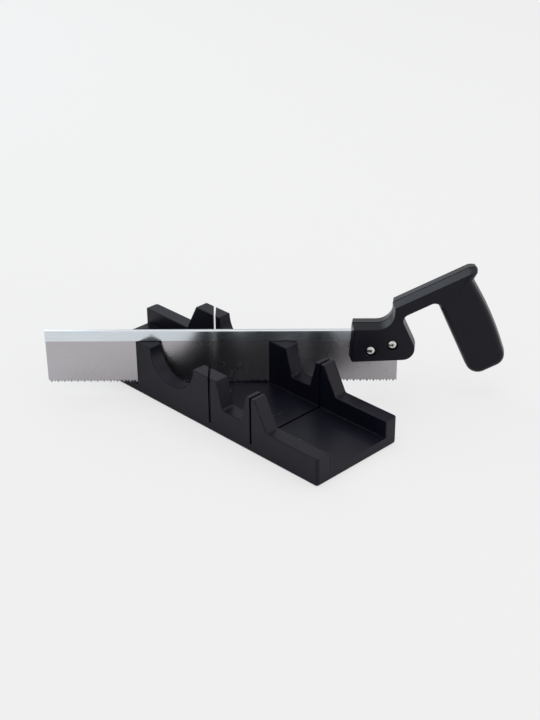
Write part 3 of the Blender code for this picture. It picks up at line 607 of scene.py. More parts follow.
def moulded_skin_group():
    """Fine satin grain over a gentle unevenness, as a height in metres and a gloss between 0 and 1."""
    bench, given, result = new_group(
        "moulded_skin",
        [("Vector", None), ("Grain", 3000.0), ("Grain depth", 0.000003),
         ("Swell", 60.0), ("Swell depth", 0.00003)],
        ["Height", "Gloss"],
    )
    grain = bench.noise(given["Vector"], given["Grain"], detail=3.0)
    swell = bench.noise(given["Vector"], given["Swell"], detail=1.0)
    coarser = bench.maths('MULTIPLY', given["Swell"], CLOUD_SHARE)
    cloud = bench.noise(given["Vector"], coarser, detail=4.0)
    fine = bench.maths('MULTIPLY', grain, given["Grain depth"])
    broad = bench.maths('MULTIPLY', swell, given["Swell depth"])
    bench.feed(result["Height"], bench.maths('ADD', fine, broad))
    grained = bench.span(grain, low=0.2, high=0.8, bottom=0.8, top=1.2)
    bench.feed(result["Gloss"], bench.maths('MULTIPLY', cloud, grained))


def settled_dust_group():
    """A thin film and separate specks on faces that look up, as a mask."""
    bench, given, result = new_group(
        "settled_dust",
        [("Vector", None), ("Film", 0.05), ("Speck density", 220.0), ("Speck size", 0.06)],
        ["Mask"],
    )
    normal = bench.add('ShaderNodeNewGeometry').outputs["Normal"]
    facing = bench.span(bench.height(normal), low=-0.2, high=0.9)
    film = bench.maths('MULTIPLY', bench.noise(given["Vector"], scale=90.0, detail=5.0), given["Film"])
    near = bench.spots(given["Vector"], given["Speck density"])
    bare = bench.noise(given["Vector"], scale=55.0, detail=1.0)
    scattered = bench.span(bare, low=0.45, high=0.7, bottom=0.0, top=1.6)
    reach = bench.maths('MULTIPLY', given["Speck size"], scattered)
    speck = bench.maths('LESS_THAN', near, reach)
    covered = bench.maths('ADD', film, bench.maths('MULTIPLY', speck, SPECK_COVER))
    bench.feed(result["Mask"], bench.maths('MULTIPLY', covered, facing, clamp=True))


def worn_edge_group():
    """Rubbed patches along the rounded edges that the mesh marks, as a mask."""
    bench, given, result = new_group(
        "worn_edge", [("Vector", None), ("Patch", 140.0), ("Amount", 0.5)], ["Mask"],
    )
    marked = bench.add('ShaderNodeAttribute', attribute_name="edge_wear").outputs["Fac"]
    patch = bench.noise(given["Vector"], given["Patch"], detail=4.0)
    lowered = bench.maths('MULTIPLY', given["Amount"], PATCH_REACH)
    start = bench.maths('SUBTRACT', PATCH_START, lowered)
    rubbed = bench.span(patch, start, bench.maths('ADD', start, PATCH_SOFTNESS))
    bench.feed(result["Mask"], bench.maths('MULTIPLY', marked, rubbed))


def drawn_line_group():
    """Long fine lines along the vector's X, as a tone between 0 and 1 and as rare scratches."""
    bench, given, result = new_group(
        "drawn_lines",
        [("Vector", None), ("Along", 12.0), ("Across", 2600.0), ("Scratch", 0.76)],
        ["Tone", "Scratch"],
    )
    stretch = bench.add('ShaderNodeCombineXYZ')
    for socket, value in zip(stretch.inputs, ("Along", "Across", "Across")):
        bench.feed(socket, given[value])
    lines = bench.vector('MULTIPLY', given["Vector"], stretch.outputs[0])
    tone = bench.noise(lines, scale=1.0, detail=3.0)
    stretched = bench.vector('MULTIPLY', lines, SCRATCH_STRETCH)
    rare = bench.noise(stretched, scale=1.0, detail=2.0)
    bench.feed(result["Tone"], tone)
    end = bench.maths('ADD', given["Scratch"], SCRATCH_SOFTNESS)
    bench.feed(result["Scratch"], bench.span(rare, given["Scratch"], end))


def shared(name):
    """Return a shared effect. All four are built when the first is asked for."""
    groups = bpy.data.node_groups
    if name not in groups:
        moulded_skin_group()
        settled_dust_group()
        worn_edge_group()
        drawn_line_group()
    return groups[name]


def new_material(name):
    """Return a material with its bench, its shader and its Object coordinates."""
    material = bpy.data.materials.new(name)
    material.use_nodes = True
    bench = Bench(material.node_tree)
    shader = material.node_tree.nodes["Principled BSDF"]
    place = bench.add('ShaderNodeTexCoord').outputs["Object"]
    return material, bench, shader, place


def bump(bench, shader, height, strength=1.0):
    """Give a shader the normals of a height in metres."""
    node = bench.add('ShaderNodeBump')
    node.inputs["Strength"].default_value = strength
    node.inputs["Distance"].default_value = 1.0
    bench.feed(node.inputs["Height"], height)
    bench.feed(shader.inputs["Normal"], node.outputs["Normal"])


def along_saw(bench, place):
    """Turn Object coordinates so that X runs along the blade."""
    node = bench.add('ShaderNodeMapping')
    node.inputs["Rotation"].default_value = (0, 0, -SAW_ANGLE)
    bench.feed(node.inputs["Vector"], place)
    return node.outputs[0]


def plastic_material(name, base, roughness, rubbed, dusty):
    """Return near-black moulded plastic with satin grain, rubbed edges and dust."""
    material, bench, shader, place = new_material(name)
    skin = bench.group(shared("moulded_skin"), vector=place)
    edge = bench.group(shared("worn_edge"), vector=place, amount=0.35)
    dust = bench.group(shared("settled_dust"), vector=place, film=0.008)
    lines = bench.group(shared("drawn_lines"), vector=place, along=45.0, across=1500.0, scratch=0.78)
    tone = bench.span(skin.outputs["Gloss"], low=0.2, high=0.8, bottom=0.85, top=1.2)
    scaled = bench.add('ShaderNodeVectorMath', operation='SCALE')
    bench.feed(scaled.inputs[0], tuple(base))
    bench.feed(scaled.inputs["Scale"], tone)
    worn = bench.mix(edge.outputs["Mask"], scaled.outputs[0], rubbed)
    scratch = bench.maths('MULTIPLY', lines.outputs["Scratch"], SCORED_COVER)
    scored = bench.mix(scratch, worn, rubbed)
    bench.feed(shader.inputs["Base Color"], bench.mix(dust.outputs["Mask"], scored, dusty))
    gloss = bench.span(
        skin.outputs["Gloss"], low=0.2, high=0.8,
        bottom=roughness - GLOSS_BELOW, top=roughness + GLOSS_ABOVE,
    )
    polish = bench.maths('MULTIPLY', edge.outputs["Mask"], RUBBED_POLISH)
    dulling = bench.maths('MULTIPLY', dust.outputs["Mask"], DUST_DULLING)
    rough = bench.maths('ADD', bench.maths('SUBTRACT', gloss, polish), dulling, clamp=True)
    bench.feed(shader.inputs["Roughness"], rough)
    shader.inputs["Specular IOR Level"].default_value = PLASTIC_SPECULAR
    bump(bench, shader, skin.outputs["Height"])
    return material, bench, shader, place


def add_painted_gate_highlight(bench, shader, place, trough, painted_highlight):
    """Paint a highlight round the gate's nub, in the middle of the floor."""
    away = bench.add('ShaderNodeVectorMath', operation='LENGTH')
    flat = bench.vector('MULTIPLY', place, (1.0, 1.0, 0.0))
    bench.feed(away.inputs[0], flat)
    ragged = bench.maths('MULTIPLY', bench.noise(place, scale=1800.0, detail=3.0), trough.gate_nub)
    reach = bench.maths('ADD', away.outputs["Value"], ragged)
    near = bench.span(reach, trough.gate_nub, trough.gate_nub * 2, 1.0, 0.0)
    above = bench.maths('GREATER_THAN', bench.height(place), trough.floor_top / 2)
    below = shader.inputs["Base Color"].links[0].from_socket
    # Painted highlight: the colour turns pale near the nub, on the floor's top only.
    mask = bench.maths('MULTIPLY', near, above)
    bench.feed(shader.inputs["Base Color"], bench.mix(mask, below, painted_highlight))


def steel_material(name, light, dark, roughness, brushing, along, across, fine):
    """Return steel drawn along the blade, which smears its reflections upright."""
    material, bench, shader, place = new_material(name)
    turned = along_saw(bench, place)
    lines = bench.group(shared("drawn_lines"), vector=turned, along=along, across=across)
    cloud = bench.noise(turned, scale=35.0, detail=4.0)
    grain = bench.noise(place, fine, detail=2.0)
    tone = bench.maths('MULTIPLY', bench.maths('ADD', lines.outputs["Tone"], grain), 0.5)
    streaks = bench.span(tone, low=0.3, high=0.7)
    bench.feed(shader.inputs["Base Color"], bench.mix(streaks, dark, light))
    clouded = bench.span(cloud, low=0.3, high=0.7, bottom=-0.015, top=0.015)
    varied = bench.maths('ADD', clouded, roughness)
    scratched = bench.maths('MULTIPLY', lines.outputs["Scratch"], SCRATCH_DULLING)
    bench.feed(shader.inputs["Roughness"], bench.maths('ADD', varied, scratched, clamp=True))
    shader.inputs["Metallic"].default_value = 1.0
    shader.inputs["Anisotropic"].default_value = brushing
    upright = bench.add('ShaderNodeCombineXYZ')
    upright.inputs["Z"].default_value = 1.0
    bench.feed(shader.inputs["Tangent"], upright.outputs[0])
    relief = bench.maths('ADD', lines.outputs["Tone"], grain)
    bump(bench, shader, bench.maths('MULTIPLY', relief, BRUSHING_DEPTH))
    return material, bench, shader, place


def blade_material(finish, tooth_depth):
    """Return the blade's steel: darker along the teeth, with faint stains."""
    material, bench, shader, place = steel_material(
        "brushed_blade", finish.blade_light, finish.blade_dark, finish.blade_roughness,
        finish.blade_brushing, along=10.0, across=2800.0, fine=5200.0,
    )
    # The band as deep as the teeth is darkened towards the tooth colour.
    tooth_band = bench.maths('LESS_THAN', bench.height(place), BLADE_LOW.z + tooth_depth)
    blotches = bench.noise(place, scale=28.0, detail=6.0)
    stain = bench.span(blotches, low=0.50, high=0.90, bottom=0.0, top=0.25)
    spot = bench.maths('LESS_THAN', bench.spots(place, scale=45.0), SPOT_SIZE)
    faint = bench.maths('MULTIPLY', stain, STAIN_COVER)
    marks = bench.maths('MAXIMUM', faint, bench.maths('MULTIPLY', spot, SPOT_COVER))
    steel = shader.inputs["Base Color"].links[0].from_socket
    marked = bench.mix(marks, steel, finish.stain_colour)
    toothed = bench.mix(
        bench.maths('MULTIPLY', tooth_band, TOOTH_COVER), marked, finish.tooth_colour,
    )
    bench.feed(shader.inputs["Base Color"], toothed)
    return material


def back_material(finish):
    """Return the folded back's steel: bright, faintly blue and finely grained."""
    material, bench, shader, place = steel_material(
        "folded_strip", finish.back_light, finish.back_dark, finish.back_roughness,
        finish.back_brushing, along=60.0, across=900.0, fine=3600.0,
    )
    mottle = bench.spots(place, scale=1300.0)
    rough = shader.inputs["Roughness"].links[0].from_socket
    uneven = bench.span(mottle, low=0.1, high=0.7, bottom=-0.01, top=0.015)
    bench.feed(shader.inputs["Roughness"], bench.maths('ADD', rough, uneven, clamp=True))
    return material


def zinc_material(finish):
    """Return bright zinc plating with dull patches, rubbed edges and painted shade in the cross recess.
    """
    material, bench, shader, place = new_material("bright_zinc")
    patch = bench.noise(place, scale=520.0, detail=5.0)
    edge = bench.group(shared("worn_edge"), vector=place, patch=600.0, amount=0.7)
    dull = bench.span(patch, low=0.35, high=0.65)
    plated = bench.mix(dull, finish.zinc_dark, finish.zinc_light)
    rubbed = bench.mix(edge.outputs["Mask"], plated, finish.zinc_rubbed)
    # Painted shade: the faces of the cross recess are darkened towards the recess colour.
    pressed = bench.add('ShaderNodeAttribute', attribute_name="recess").outputs["Fac"]
    bench.feed(shader.inputs["Base Color"], bench.mix(pressed, rubbed, finish.zinc_recess_shade))
    glossy = finish.zinc_roughness - ZINC_GLOSS_BELOW
    rough = bench.span(patch, low=0.3, high=0.7, bottom=glossy, top=glossy + ZINC_GLOSS_RANGE)
    bench.feed(shader.inputs["Roughness"], rough)
    shader.inputs["Metallic"].default_value = 1.0
    bump(bench, shader, bench.maths('MULTIPLY', patch, PLATING_DEPTH))
    return material


# Trough


def channel(sizes):
    """Return the trough before anything is cut from it: a U section with filleted feet, extruded."""
    half = BOX_HIGH.y
    inner = half - sizes.wall
    top = BOX_HIGH.z
    floor = sizes.floor_top
    places = [
        (-half, 0), (half, 0), (half, top), (inner, top), (inner, floor), (-inner, floor),
        (-inner, top), (-half, top),
    ]
    section = [(BOX_LOW.x, y, z) for y, z in places]
    along = Vector((BOX_HIGH.x - BOX_LOW.x, 0, 0))
    return prism(section, along, rounded=(4, 5), radius=sizes.foot_fillet)


def gap_tool(sizes, left, left_run, right, right_run):
    """Return the tool that lowers both walls between two posts, with sloping flanks."""
    reach = BOX_HIGH.y + OVERRUN
    rise = BOX_HIGH.z - sizes.low_wall
    extra = (rise + OVERRUN) / rise
    places = [
        (left + left_run, sizes.low_wall), (right - right_run, sizes.low_wall),
        (right - right_run + right_run * extra, BOX_HIGH.z + OVERRUN),
        (left + left_run - left_run * extra, BOX_HIGH.z + OVERRUN),
    ]
    outline = [(x, -reach, z) for x, z in places]
    across = Vector((0, reach * 2, 0))
    return as_tool(prism(outline, across, rounded=(0, 1), radius=sizes.flank_fillet))


def wall_tools(sizes):
    """Return the tools that give both walls their outline: low ends, round scoop and low gap."""
    offset = (BOX_HIGH.y - sizes.wall / 2) / math.tan(SAW_ANGLE)
    left = CROSSING_X - offset - sizes.left_post
    right = CROSSING_X + offset + sizes.right_post
    square_left = sizes.square_cut_x - sizes.square_post
    square_right = sizes.square_cut_x + sizes.square_post
    reach = BOX_HIGH.y + OVERRUN
    half_width = offset - sizes.inner_post
    scoop = drum(half_width, -reach, reach, SCOOP_SEGMENTS)
    oval = Matrix.Diagonal((1, 1, sizes.scoop_depth / half_width, 1))
    turned = Matrix.Rotation(math.pi / 2, 4, 'X')
    place = Matrix.Translation((CROSSING_X, 0, BOX_HIGH.z)) @ oval @ turned
    return [
        gap_tool(sizes, BOX_LOW.x - OVERRUN, 0, left, sizes.gentle_flank),
        gap_tool(sizes, right, sizes.steep_flank, square_left, sizes.steep_flank),
        gap_tool(sizes, square_right, sizes.gentle_flank, BOX_HIGH.x + OVERRUN, 0),
        as_tool(scoop, place),
    ]


def cut_lines(sizes):
    """Return each saw cut as its place on the centre line and its direction."""
    return [
        (CROSSING_X, SAW_ANGLE), (CROSSING_X, math.pi - SAW_ANGLE),
        (sizes.square_cut_x, math.pi / 2),
    ]


def cut_tools(sizes):
    """Return the thin sheets that open the saw cuts through both walls and score the floor."""
    bottom = sizes.floor_top - sizes.kerf_depth
    half = sizes.cut_width / 2
    tools = []
    for centre, turn in cut_lines(sizes):
        reach = BOX_HIGH.y / math.sin(turn) + BOX_HIGH.y
        sheet = block((-reach, -half, bottom), (reach, half, BOX_HIGH.z + OVERRUN))
        place = Matrix.Translation((centre, 0, 0)) @ Matrix.Rotation(turn, 4, 'Z')
        tools.append(as_tool(sheet, place))
    return tools


def is_cut_face(face, sizes):
    """Tell whether a face is one of the two sides or the bottom of a saw cut."""
    centre = face.calc_center_median()
    bottom = sizes.floor_top - sizes.kerf_depth
    if abs(centre.z - bottom) < ON_PLANE:
        return True
    for start, turn in cut_lines(sizes):
        across = Vector((-math.sin(turn), math.cos(turn), 0))
        offset = abs((centre - Vector((start, 0, 0))).dot(across))
        upright = abs(abs(face.normal.dot(across)) - 1) < 0.001
        if upright and abs(offset - sizes.cut_width / 2) < ON_PLANE:
            return True
    return False


def web_places(sizes, side):
    """List the webs that the coring leaves in a wall: place, lean and half thickness."""
    half = BOX_HIGH.y - sizes.wall / 2
    lean = side / math.tan(SAW_ANGLE)
    offset = half / math.tan(SAW_ANGLE)
    cut_half = sizes.cut_width / 2 + sizes.cut_skin
    mitre_half = cut_half / math.sin(SAW_ANGLE)
    fixed = [
        (BOX_LOW.x, 0, sizes.wall_skin), (CROSSING_X - offset, -lean, mitre_half),
        (CROSSING_X + offset, lean, mitre_half), (sizes.square_cut_x, 0, cut_half),
        (BOX_HIGH.x, 0, sizes.wall_skin),
    ]
    webs = [fixed[0]]
    for place in fixed[1:]:
        start = webs[-1][0]
        bays = max(1, math.ceil((place[0] - start) / sizes.rib_spacing))
        for bay in range(1, bays):
            webs.append((start + (place[0] - start) * bay / bays, 0, sizes.rib / 2))
        webs.append(place)
    return webs


def wall_pocket_tools(sizes, side):
    """Return the tools that core one wall from below, their ends parallel to the webs."""
    middle = side * (BOX_HIGH.y - sizes.wall / 2)
    half = sizes.wall / 2 - sizes.wall_skin
    top = min(sizes.low_wall, BOX_HIGH.z - sizes.scoop_depth) - sizes.wall_skin
    webs = web_places(sizes, side)
    tools = []
    for left, right in zip(webs, webs[1:]):
        outline = [
            Vector((left[0] - left[1] * half + left[2], middle - half, -OVERRUN)),
            Vector((right[0] - right[1] * half - right[2], middle - half, -OVERRUN)),
            Vector((right[0] + right[1] * half - right[2], middle + half, -OVERRUN)),
            Vector((left[0] + left[1] * half + left[2], middle + half, -OVERRUN)),
        ]
        tools.append(as_tool(prism(outline, Vector((0, 0, top + OVERRUN)))))
    return tools


def floor_pocket_tools(sizes):
    """Return the tools that core the floor from below in two rows."""
    half_length = BOX_HIGH.x
    inner = BOX_HIGH.y - sizes.wall
    bays = 2 * math.ceil(half_length / sizes.rib_spacing)
    pitch = (half_length * 2 - sizes.wall_skin * 2 + sizes.rib) / bays
    top = sizes.floor_top - sizes.floor_skin
    tools = []
    for bay in range(bays):
        low_x = -half_length + sizes.wall_skin + pitch * bay
        high_x = low_x + pitch - sizes.rib
        for low_y, high_y in ((-inner, -sizes.rib / 2), (sizes.rib / 2, inner)):
            tools.append(as_tool(block((low_x, low_y, -OVERRUN), (high_x, high_y, top))))
    return tools


def gate_tool(sizes):
    """Return the ring that leaves the gate's nub in a shallow dimple."""
    low = sizes.floor_top - sizes.gate_depth
    high = sizes.floor_top + OVERRUN
    profile = [
        (sizes.gate_nub, low), (sizes.gate_radius - sizes.gate_depth, low),
        (sizes.gate_radius, sizes.floor_top), (sizes.gate_radius, high), (sizes.gate_nub, high),
        (sizes.gate_nub, low),
    ]
    return as_tool(lathe(profile, GATE_STEPS))


def round_trough(mesh_builder, sizes):
    """Round the trough: upright corners, bench rim, wall edges and then the saw cuts' edges."""
    half_length, half_width = BOX_HIGH.x, BOX_HIGH.y

    def at_corner(point):
        return abs(abs(point.x) - half_length) < ON_PLANE and abs(abs(point.y) - half_width) < ON_PLANE

    def on_bench(point):
        return abs(point.z) < ON_PLANE

    corners = [edge for edge in mesh_builder.edges if both_ends(edge, at_corner)]
    soften(mesh_builder, corners, sizes.corner_radius, segments=6)
    rim = [edge for edge in mesh_builder.edges if is_crisp(edge) and both_ends(edge, on_bench)]
    soften(mesh_builder, rim, sizes.rim_radius, segments=2)
    cuts = {face for face in mesh_builder.faces if is_cut_face(face, sizes)}
    walls = [
        edge for edge in mesh_builder.edges
        if is_crisp(edge) and not both_ends(edge, lambda point: point.z < sizes.rim_radius * 2)
        and not cuts.intersection(edge.link_faces)
    ]
    soften(mesh_builder, walls, sizes.edge_radius, segments=4)
    cuts = {face for face in mesh_builder.faces if is_cut_face(face, sizes)}
    slots = [
        edge for edge in mesh_builder.edges
        if is_crisp(edge) and len(cuts.intersection(edge.link_faces)) == 1
    ]
    soften(mesh_builder, slots, sizes.slot_radius, segments=2)


def make_trough(scene):
    """Model the trough: channel, outline of the walls, saw cuts, rounding, coring and gate."""
    sizes = scene.mitre_trough
    finish = scene.mitre_finish
    mesh_builder = carved(channel(sizes), wall_tools(sizes))
    mesh_builder = carved(mesh_builder, cut_tools(sizes))
    round_trough(mesh_builder, sizes)
    tools = floor_pocket_tools(sizes)
    for side in (-1, 1):
        tools += wall_pocket_tools(sizes, side)
    mesh_builder = carved(mesh_builder, [*tools, gate_tool(sizes)])
    note_edges(mesh_builder)
    material, bench, shader, place = plastic_material(
        "satin_trough", finish.trough_colour, finish.trough_roughness,
        finish.rubbed_colour, finish.dust_colour,
    )
    # Painted highlight round the gate's nub.
    add_painted_gate_highlight(bench, shader, place, sizes, finish.gate_highlight_colour)
    finish_piece("trough_moulding", mesh_builder, material, "box", ["mitre_box"])


# Folded back


def make_back(scene):
    """Model the folded back: its section extruded, with round bends and fine cut edges."""
    sizes = scene.mitre_saw
    half = (BACK_HIGH.y - BACK_LOW.y) / 2
    inside = half - sizes.sheet
    low, high = BACK_LOW.z, BACK_HIGH.z
    places = [
        (-half, low), (-inside, low), (-inside, high - sizes.sheet), (inside, high - sizes.sheet),
        (inside, low), (half, low), (half, high), (-half, high),
    ]
    section = [Vector((BACK_LOW.x, y, z)) for y, z in places]
    mesh_builder = prism(section, Vector((BACK_HIGH.x - BACK_LOW.x, 0, 0)))

    def on_bend(point):
        return abs(point.z - high) < ON_PLANE and abs(abs(point.y) - half) < ON_PLANE

    def is_long(edge):
        return edge.calc_length() > half * 4

    bends = [edge for edge in mesh_builder.edges if is_long(edge) and both_ends(edge, on_bend)]
    soften(mesh_builder, bends, sizes.bend_radius, segments=8)
    rims = [edge for edge in mesh_builder.edges if is_crisp(edge)]
    soften(mesh_builder, rims, sizes.strip_edge, segments=2)
    bmesh.ops.transform(mesh_builder, matrix=SAW_PLACE, verts=mesh_builder.verts)
    note_edges(mesh_builder)
    material = back_material(scene.mitre_finish)
    finish_piece("folded_back", mesh_builder, material, "saw", ["saw_back"])


# Handle


def line_through(point, turn):
    """Return a line as a point and a unit direction."""
    return Vector(point), Vector((math.cos(turn), math.sin(turn)))


def shifted(line, distance):
    """Return the line moved to its left by a distance."""
    point, direction = line
    return point + Vector((-direction.y, direction.x)) * distance, direction


def meet(first, second):
    """Return the point where two lines cross."""
    offset = second[0] - first[0]
    return first[0] + first[1] * (offset.cross(second[1]) / first[1].cross(second[1]))


def handle_lines(sizes):
    """Return the straight sides of the handle's outline, clockwise from the block's end."""
    down = math.pi / 2
    top = line_through((0, 0), 0)
    neck = line_through((sizes.block_top, 0), down)
    arm_top = line_through((sizes.block_top, sizes.neck_rise), sizes.arm_angle)
    horn_top = line_through((0, sizes.horn_rise), 0)
    horn_under = line_through((sizes.horn_reach, sizes.horn_rise), sizes.horn_under)
    grip_back = line_through((sizes.back_reach, sizes.back_rise), sizes.back_angle - down)
    grip_heel = line_through((sizes.heel_reach, -sizes.heel_drop), sizes.heel_angle - down)
    block_back = line_through((sizes.block_back, 0), sizes.grip_angle - down)
    grip_inner = shifted(block_back, sizes.finger_gap)
    drop = line_through((0, -sizes.grip_drop), 0)
    grip_foot = line_through(meet(grip_inner, drop), sizes.grip_foot)
    arm_under = shifted(arm_top, -sizes.arm_depth)
    block_foot = line_through((0, -sizes.block_height), sizes.block_foot)
    block_end = line_through((0, 0), down - sizes.block_lean)
    return [
        block_end, top, neck, arm_top, horn_top, horn_under, grip_back, grip_heel, grip_foot,
        grip_inner, arm_under, block_back, block_foot,
    ]


def handle_corners(sizes):
    """Return the outline's corners, each where a side starts, with their radii."""
    lines = handle_lines(sizes)
    corners = [meet(lines[index - 1], lines[index]) for index in range(len(lines))]
    radii = [
        sizes.toe_radius, sizes.top_radius, sizes.neck_radius, sizes.heel_radius,
        sizes.horn_radius, sizes.tip_radius, sizes.notch_radius, sizes.bow_radius,
        sizes.grip_heel_radius, sizes.grip_front_radius, sizes.finger_radius,
        sizes.finger_radius, sizes.block_back_radius,
    ]
    return corners, radii


def side_rounding(sizes):
    """Return the edge rounding of each side of the handle's outline."""
    edge, grip = sizes.block_edge, sizes.grip_edge
    return [edge] * 4 + [sizes.horn_top_edge, sizes.horn_under_edge] + [grip] * 4 + [edge] * 3


def pulled_in(corners, insets):
    """Move each side inwards by its own distance and return where the sides then meet."""
    count = len(corners)
    sides = []
    for index in range(count):
        run = (corners[(index + 1) % count] - corners[index]).normalized()
        sides.append(shifted((corners[index], run), -insets[index]))
    return [meet(sides[index - 1], sides[index]) for index in range(count)]


def swept_corner(mesh_builder, before, corner, after, radius, steps):
    """Spin a point round a rounded corner and return the arc's vertices in order."""
    incoming = (corner - before).normalized()
    outgoing = (after - corner).normalized()
    turn = math.atan2(incoming.cross(outgoing), incoming.dot(outgoing))
    start = corner - incoming * radius * math.tan(abs(turn) / 2)
    centre = start + Vector((-incoming.y, incoming.x)) * math.copysign(radius, turn)
    arc = [mesh_builder.verts.new((start.x, start.y, 0))]
    bmesh.ops.spin(
        mesh_builder, geom=arc[:1], cent=(centre.x, centre.y, 0), axis=(0, 0, 1), angle=turn,
        steps=steps,
    )
    for _ in range(steps):
        nearby = [edge.other_vert(arc[-1]) for edge in arc[-1].link_edges]
        arc.append(next(vert for vert in nearby if vert not in arc))
    return arc


def handle_ring(mesh_builder, corners, radii, depths, steps):
    """Draw one closed ring of the handle, at its own distance from the seam, and return its edges."""
    count = len(corners)
    arcs = []
    for index in range(count):
        after = corners[(index + 1) % count]
        arc = swept_corner(mesh_builder, corners[index - 1], corners[index], after, radii[index], steps)
        for step, vert in enumerate(arc):
            part = step / steps
            vert.co.z = depths[index - 1] * (1 - part) + depths[index] * part
        arcs.append(arc)
    for arc, following in zip(arcs, arcs[1:] + arcs[:1]):
        mesh_builder.edges.new((arc[-1], following[0]))
    return list({edge for arc in arcs for vert in arc for edge in vert.link_edges})


def rounded_ring(mesh_builder, sizes, tilt, steps):
    """Draw the ring where the rounded edge has turned by a given angle from the side."""
    corners, radii = handle_corners(sizes)
    half = sizes.thickness / 2
    depths, insets = [], []
    for rounding in side_rounding(sizes):
        depth = half - rounding + rounding * math.sin(tilt)
        depths.append(depth)
        insets.append(sizes.draft * depth / half + rounding * (1 - math.cos(tilt)))
    smallest = sizes.least_radius
    inner_radii = []
    for index, radius in enumerate(radii):
        before = corners[index] - corners[index - 1]
        after = corners[(index + 1) % len(corners)] - corners[index]
        inset = (insets[index - 1] + insets[index]) / 2
        inset = -inset if before.cross(after) < 0 else inset
        inner_radii.append(max(radius + inset, smallest))
    return handle_ring(mesh_builder, pulled_in(corners, insets), inner_radii, depths, steps)


def handle_shell(sizes, gap):
    """Return one half of the handle, lofted from the seam at Z = 0 to its outer face."""
    steps = HANDLE_ARC_STEPS
    mesh_builder = bmesh.new()
    corners, radii = handle_corners(sizes)
    count = len(corners)
    inner = pulled_in(corners, [sizes.seam_depth] * count)
    lip = sizes.seam_width + sizes.least_radius / 2
    rings = [
        handle_ring(mesh_builder, inner, radii, [gap / 2] * count, steps),
        handle_ring(mesh_builder, inner, radii, [sizes.seam_width] * count, steps),
        handle_ring(mesh_builder, corners, radii, [lip] * count, steps),
    ]
    for step in range(steps // 2 + 1):
        tilt = math.pi / steps * step
        rings.append(rounded_ring(mesh_builder, sizes, tilt, steps))
    for lower, upper in zip(rings, rings[1:]):
        bmesh.ops.bridge_loops(mesh_builder, edges=lower + upper)
    for ring in (rings[0], rings[-1]):
        bmesh.ops.edgenet_fill(mesh_builder, edges=ring)
    bmesh.ops.recalc_face_normals(mesh_builder, faces=mesh_builder.faces)
    return mesh_builder


def handle_origin(scene):
    """Return the block's upper front corner, along the blade and up."""
    sizes = scene.mitre_handle
    return BLADE_HIGH.x - sizes.blade_gripped, BACK_HIGH.z + sizes.cover


def screw_places(scene):
    """Return each screw's place along the blade and its height."""
    sizes = scene.mitre_handle
    along, top = handle_origin(scene)
    return [(along + screw[0], top - screw[1]) for screw in (sizes.first_screw, sizes.second_screw)]


def across_blade(along, height):
    """Return the matrix that stands a solid about Z on the blade, with Z towards the user."""
    return Matrix.Translation((along, 0, height)) @ Matrix.Rotation(math.pi / 2, 4, 'X')


def recess_tools(scene, side):
    """Return the tools for the hollows that take the blade and the folded back."""
    sizes = scene.mitre_saw
    along, top = handle_origin(scene)
    gap = sizes.fit_gap
    start = along - scene.mitre_handle.block_height / 4
    blade_half = (BACK_HIGH.y - BACK_LOW.y) / 2 - sizes.sheet
    below = top - scene.mitre_handle.block_height - OVERRUN
    blade_top = BACK_HIGH.z - sizes.sheet
    back_half = (BACK_HIGH.y - BACK_LOW.y) / 2 + gap
    hollows = [
        ((start, 0, below), (BLADE_HIGH.x + gap, blade_half, blade_top)),
        ((start, 0, BACK_LOW.z - gap), (BACK_HIGH.x + gap, back_half, BACK_HIGH.z + gap)),
    ]
    tools = []
    for low, high in hollows:
        near = -side * OVERRUN
        far = side * high[1]
        low = (low[0], min(near, far), low[2])
        high = (high[0], max(near, far), high[2])
        tools.append(as_tool(block(low, high)))
    return tools


def make_half(scene, name, side, node):
    """Model one half of the handle, with its hollows and the recesses for head or nut."""
    sizes = scene.mitre_handle
    saw = scene.mitre_saw
    half = sizes.thickness / 2
    shell = handle_shell(sizes, saw.fit_gap)
    along, top = handle_origin(scene)
    bmesh.ops.transform(shell, matrix=across_blade(along, top), verts=shell.verts)
    if side > 0:
        flip = Matrix.Diagonal((1, -1, 1, 1))
        bmesh.ops.transform(shell, matrix=flip, verts=shell.verts)
        bmesh.ops.reverse_faces(shell, faces=shell.faces)
    tools = recess_tools(scene, side)
    for place_along, height in screw_places(scene):
        place = across_blade(place_along, height)
        hole = drum(saw.shank_radius + saw.fit_gap, -half - OVERRUN, half + OVERRUN, HOLE_SEGMENTS)
        tools.append(as_tool(hole, place))
        if side < 0:
            bottom = half - sizes.counterbore_depth
            recess = drum(sizes.counterbore, bottom, half + OVERRUN, RECESS_SEGMENTS)
        else:
            radius = saw.nut_flats / math.sqrt(3) + saw.fit_gap
            recess = drum(radius, -half - OVERRUN, -half + sizes.pocket_depth, segments=6)
        tools.append(as_tool(recess, place))
    mesh_builder = carved(shell, tools)
    rims = [
        edge for edge in mesh_builder.edges
        if is_crisp(edge, RIM_ANGLE)
        and both_ends(edge, lambda point: abs(abs(point.y) - half) < ON_PLANE)
    ]
    soften(mesh_builder, rims, sizes.bore_edge, segments=3)
    bmesh.ops.transform(mesh_builder, matrix=SAW_PLACE, verts=mesh_builder.verts)
    note_edges(mesh_builder)
    material = bpy.data.materials.get("satin_handle") or handle_material(scene.mitre_finish)
    finish_piece(name, mesh_builder, material, "saw", [node])


def handle_material(finish):
    """Return the handle's plastic."""
    return plastic_material(
        "satin_handle", finish.handle_colour, finish.handle_roughness,
        finish.rubbed_colour, finish.dust_colour,
    )[0]


# Fasteners


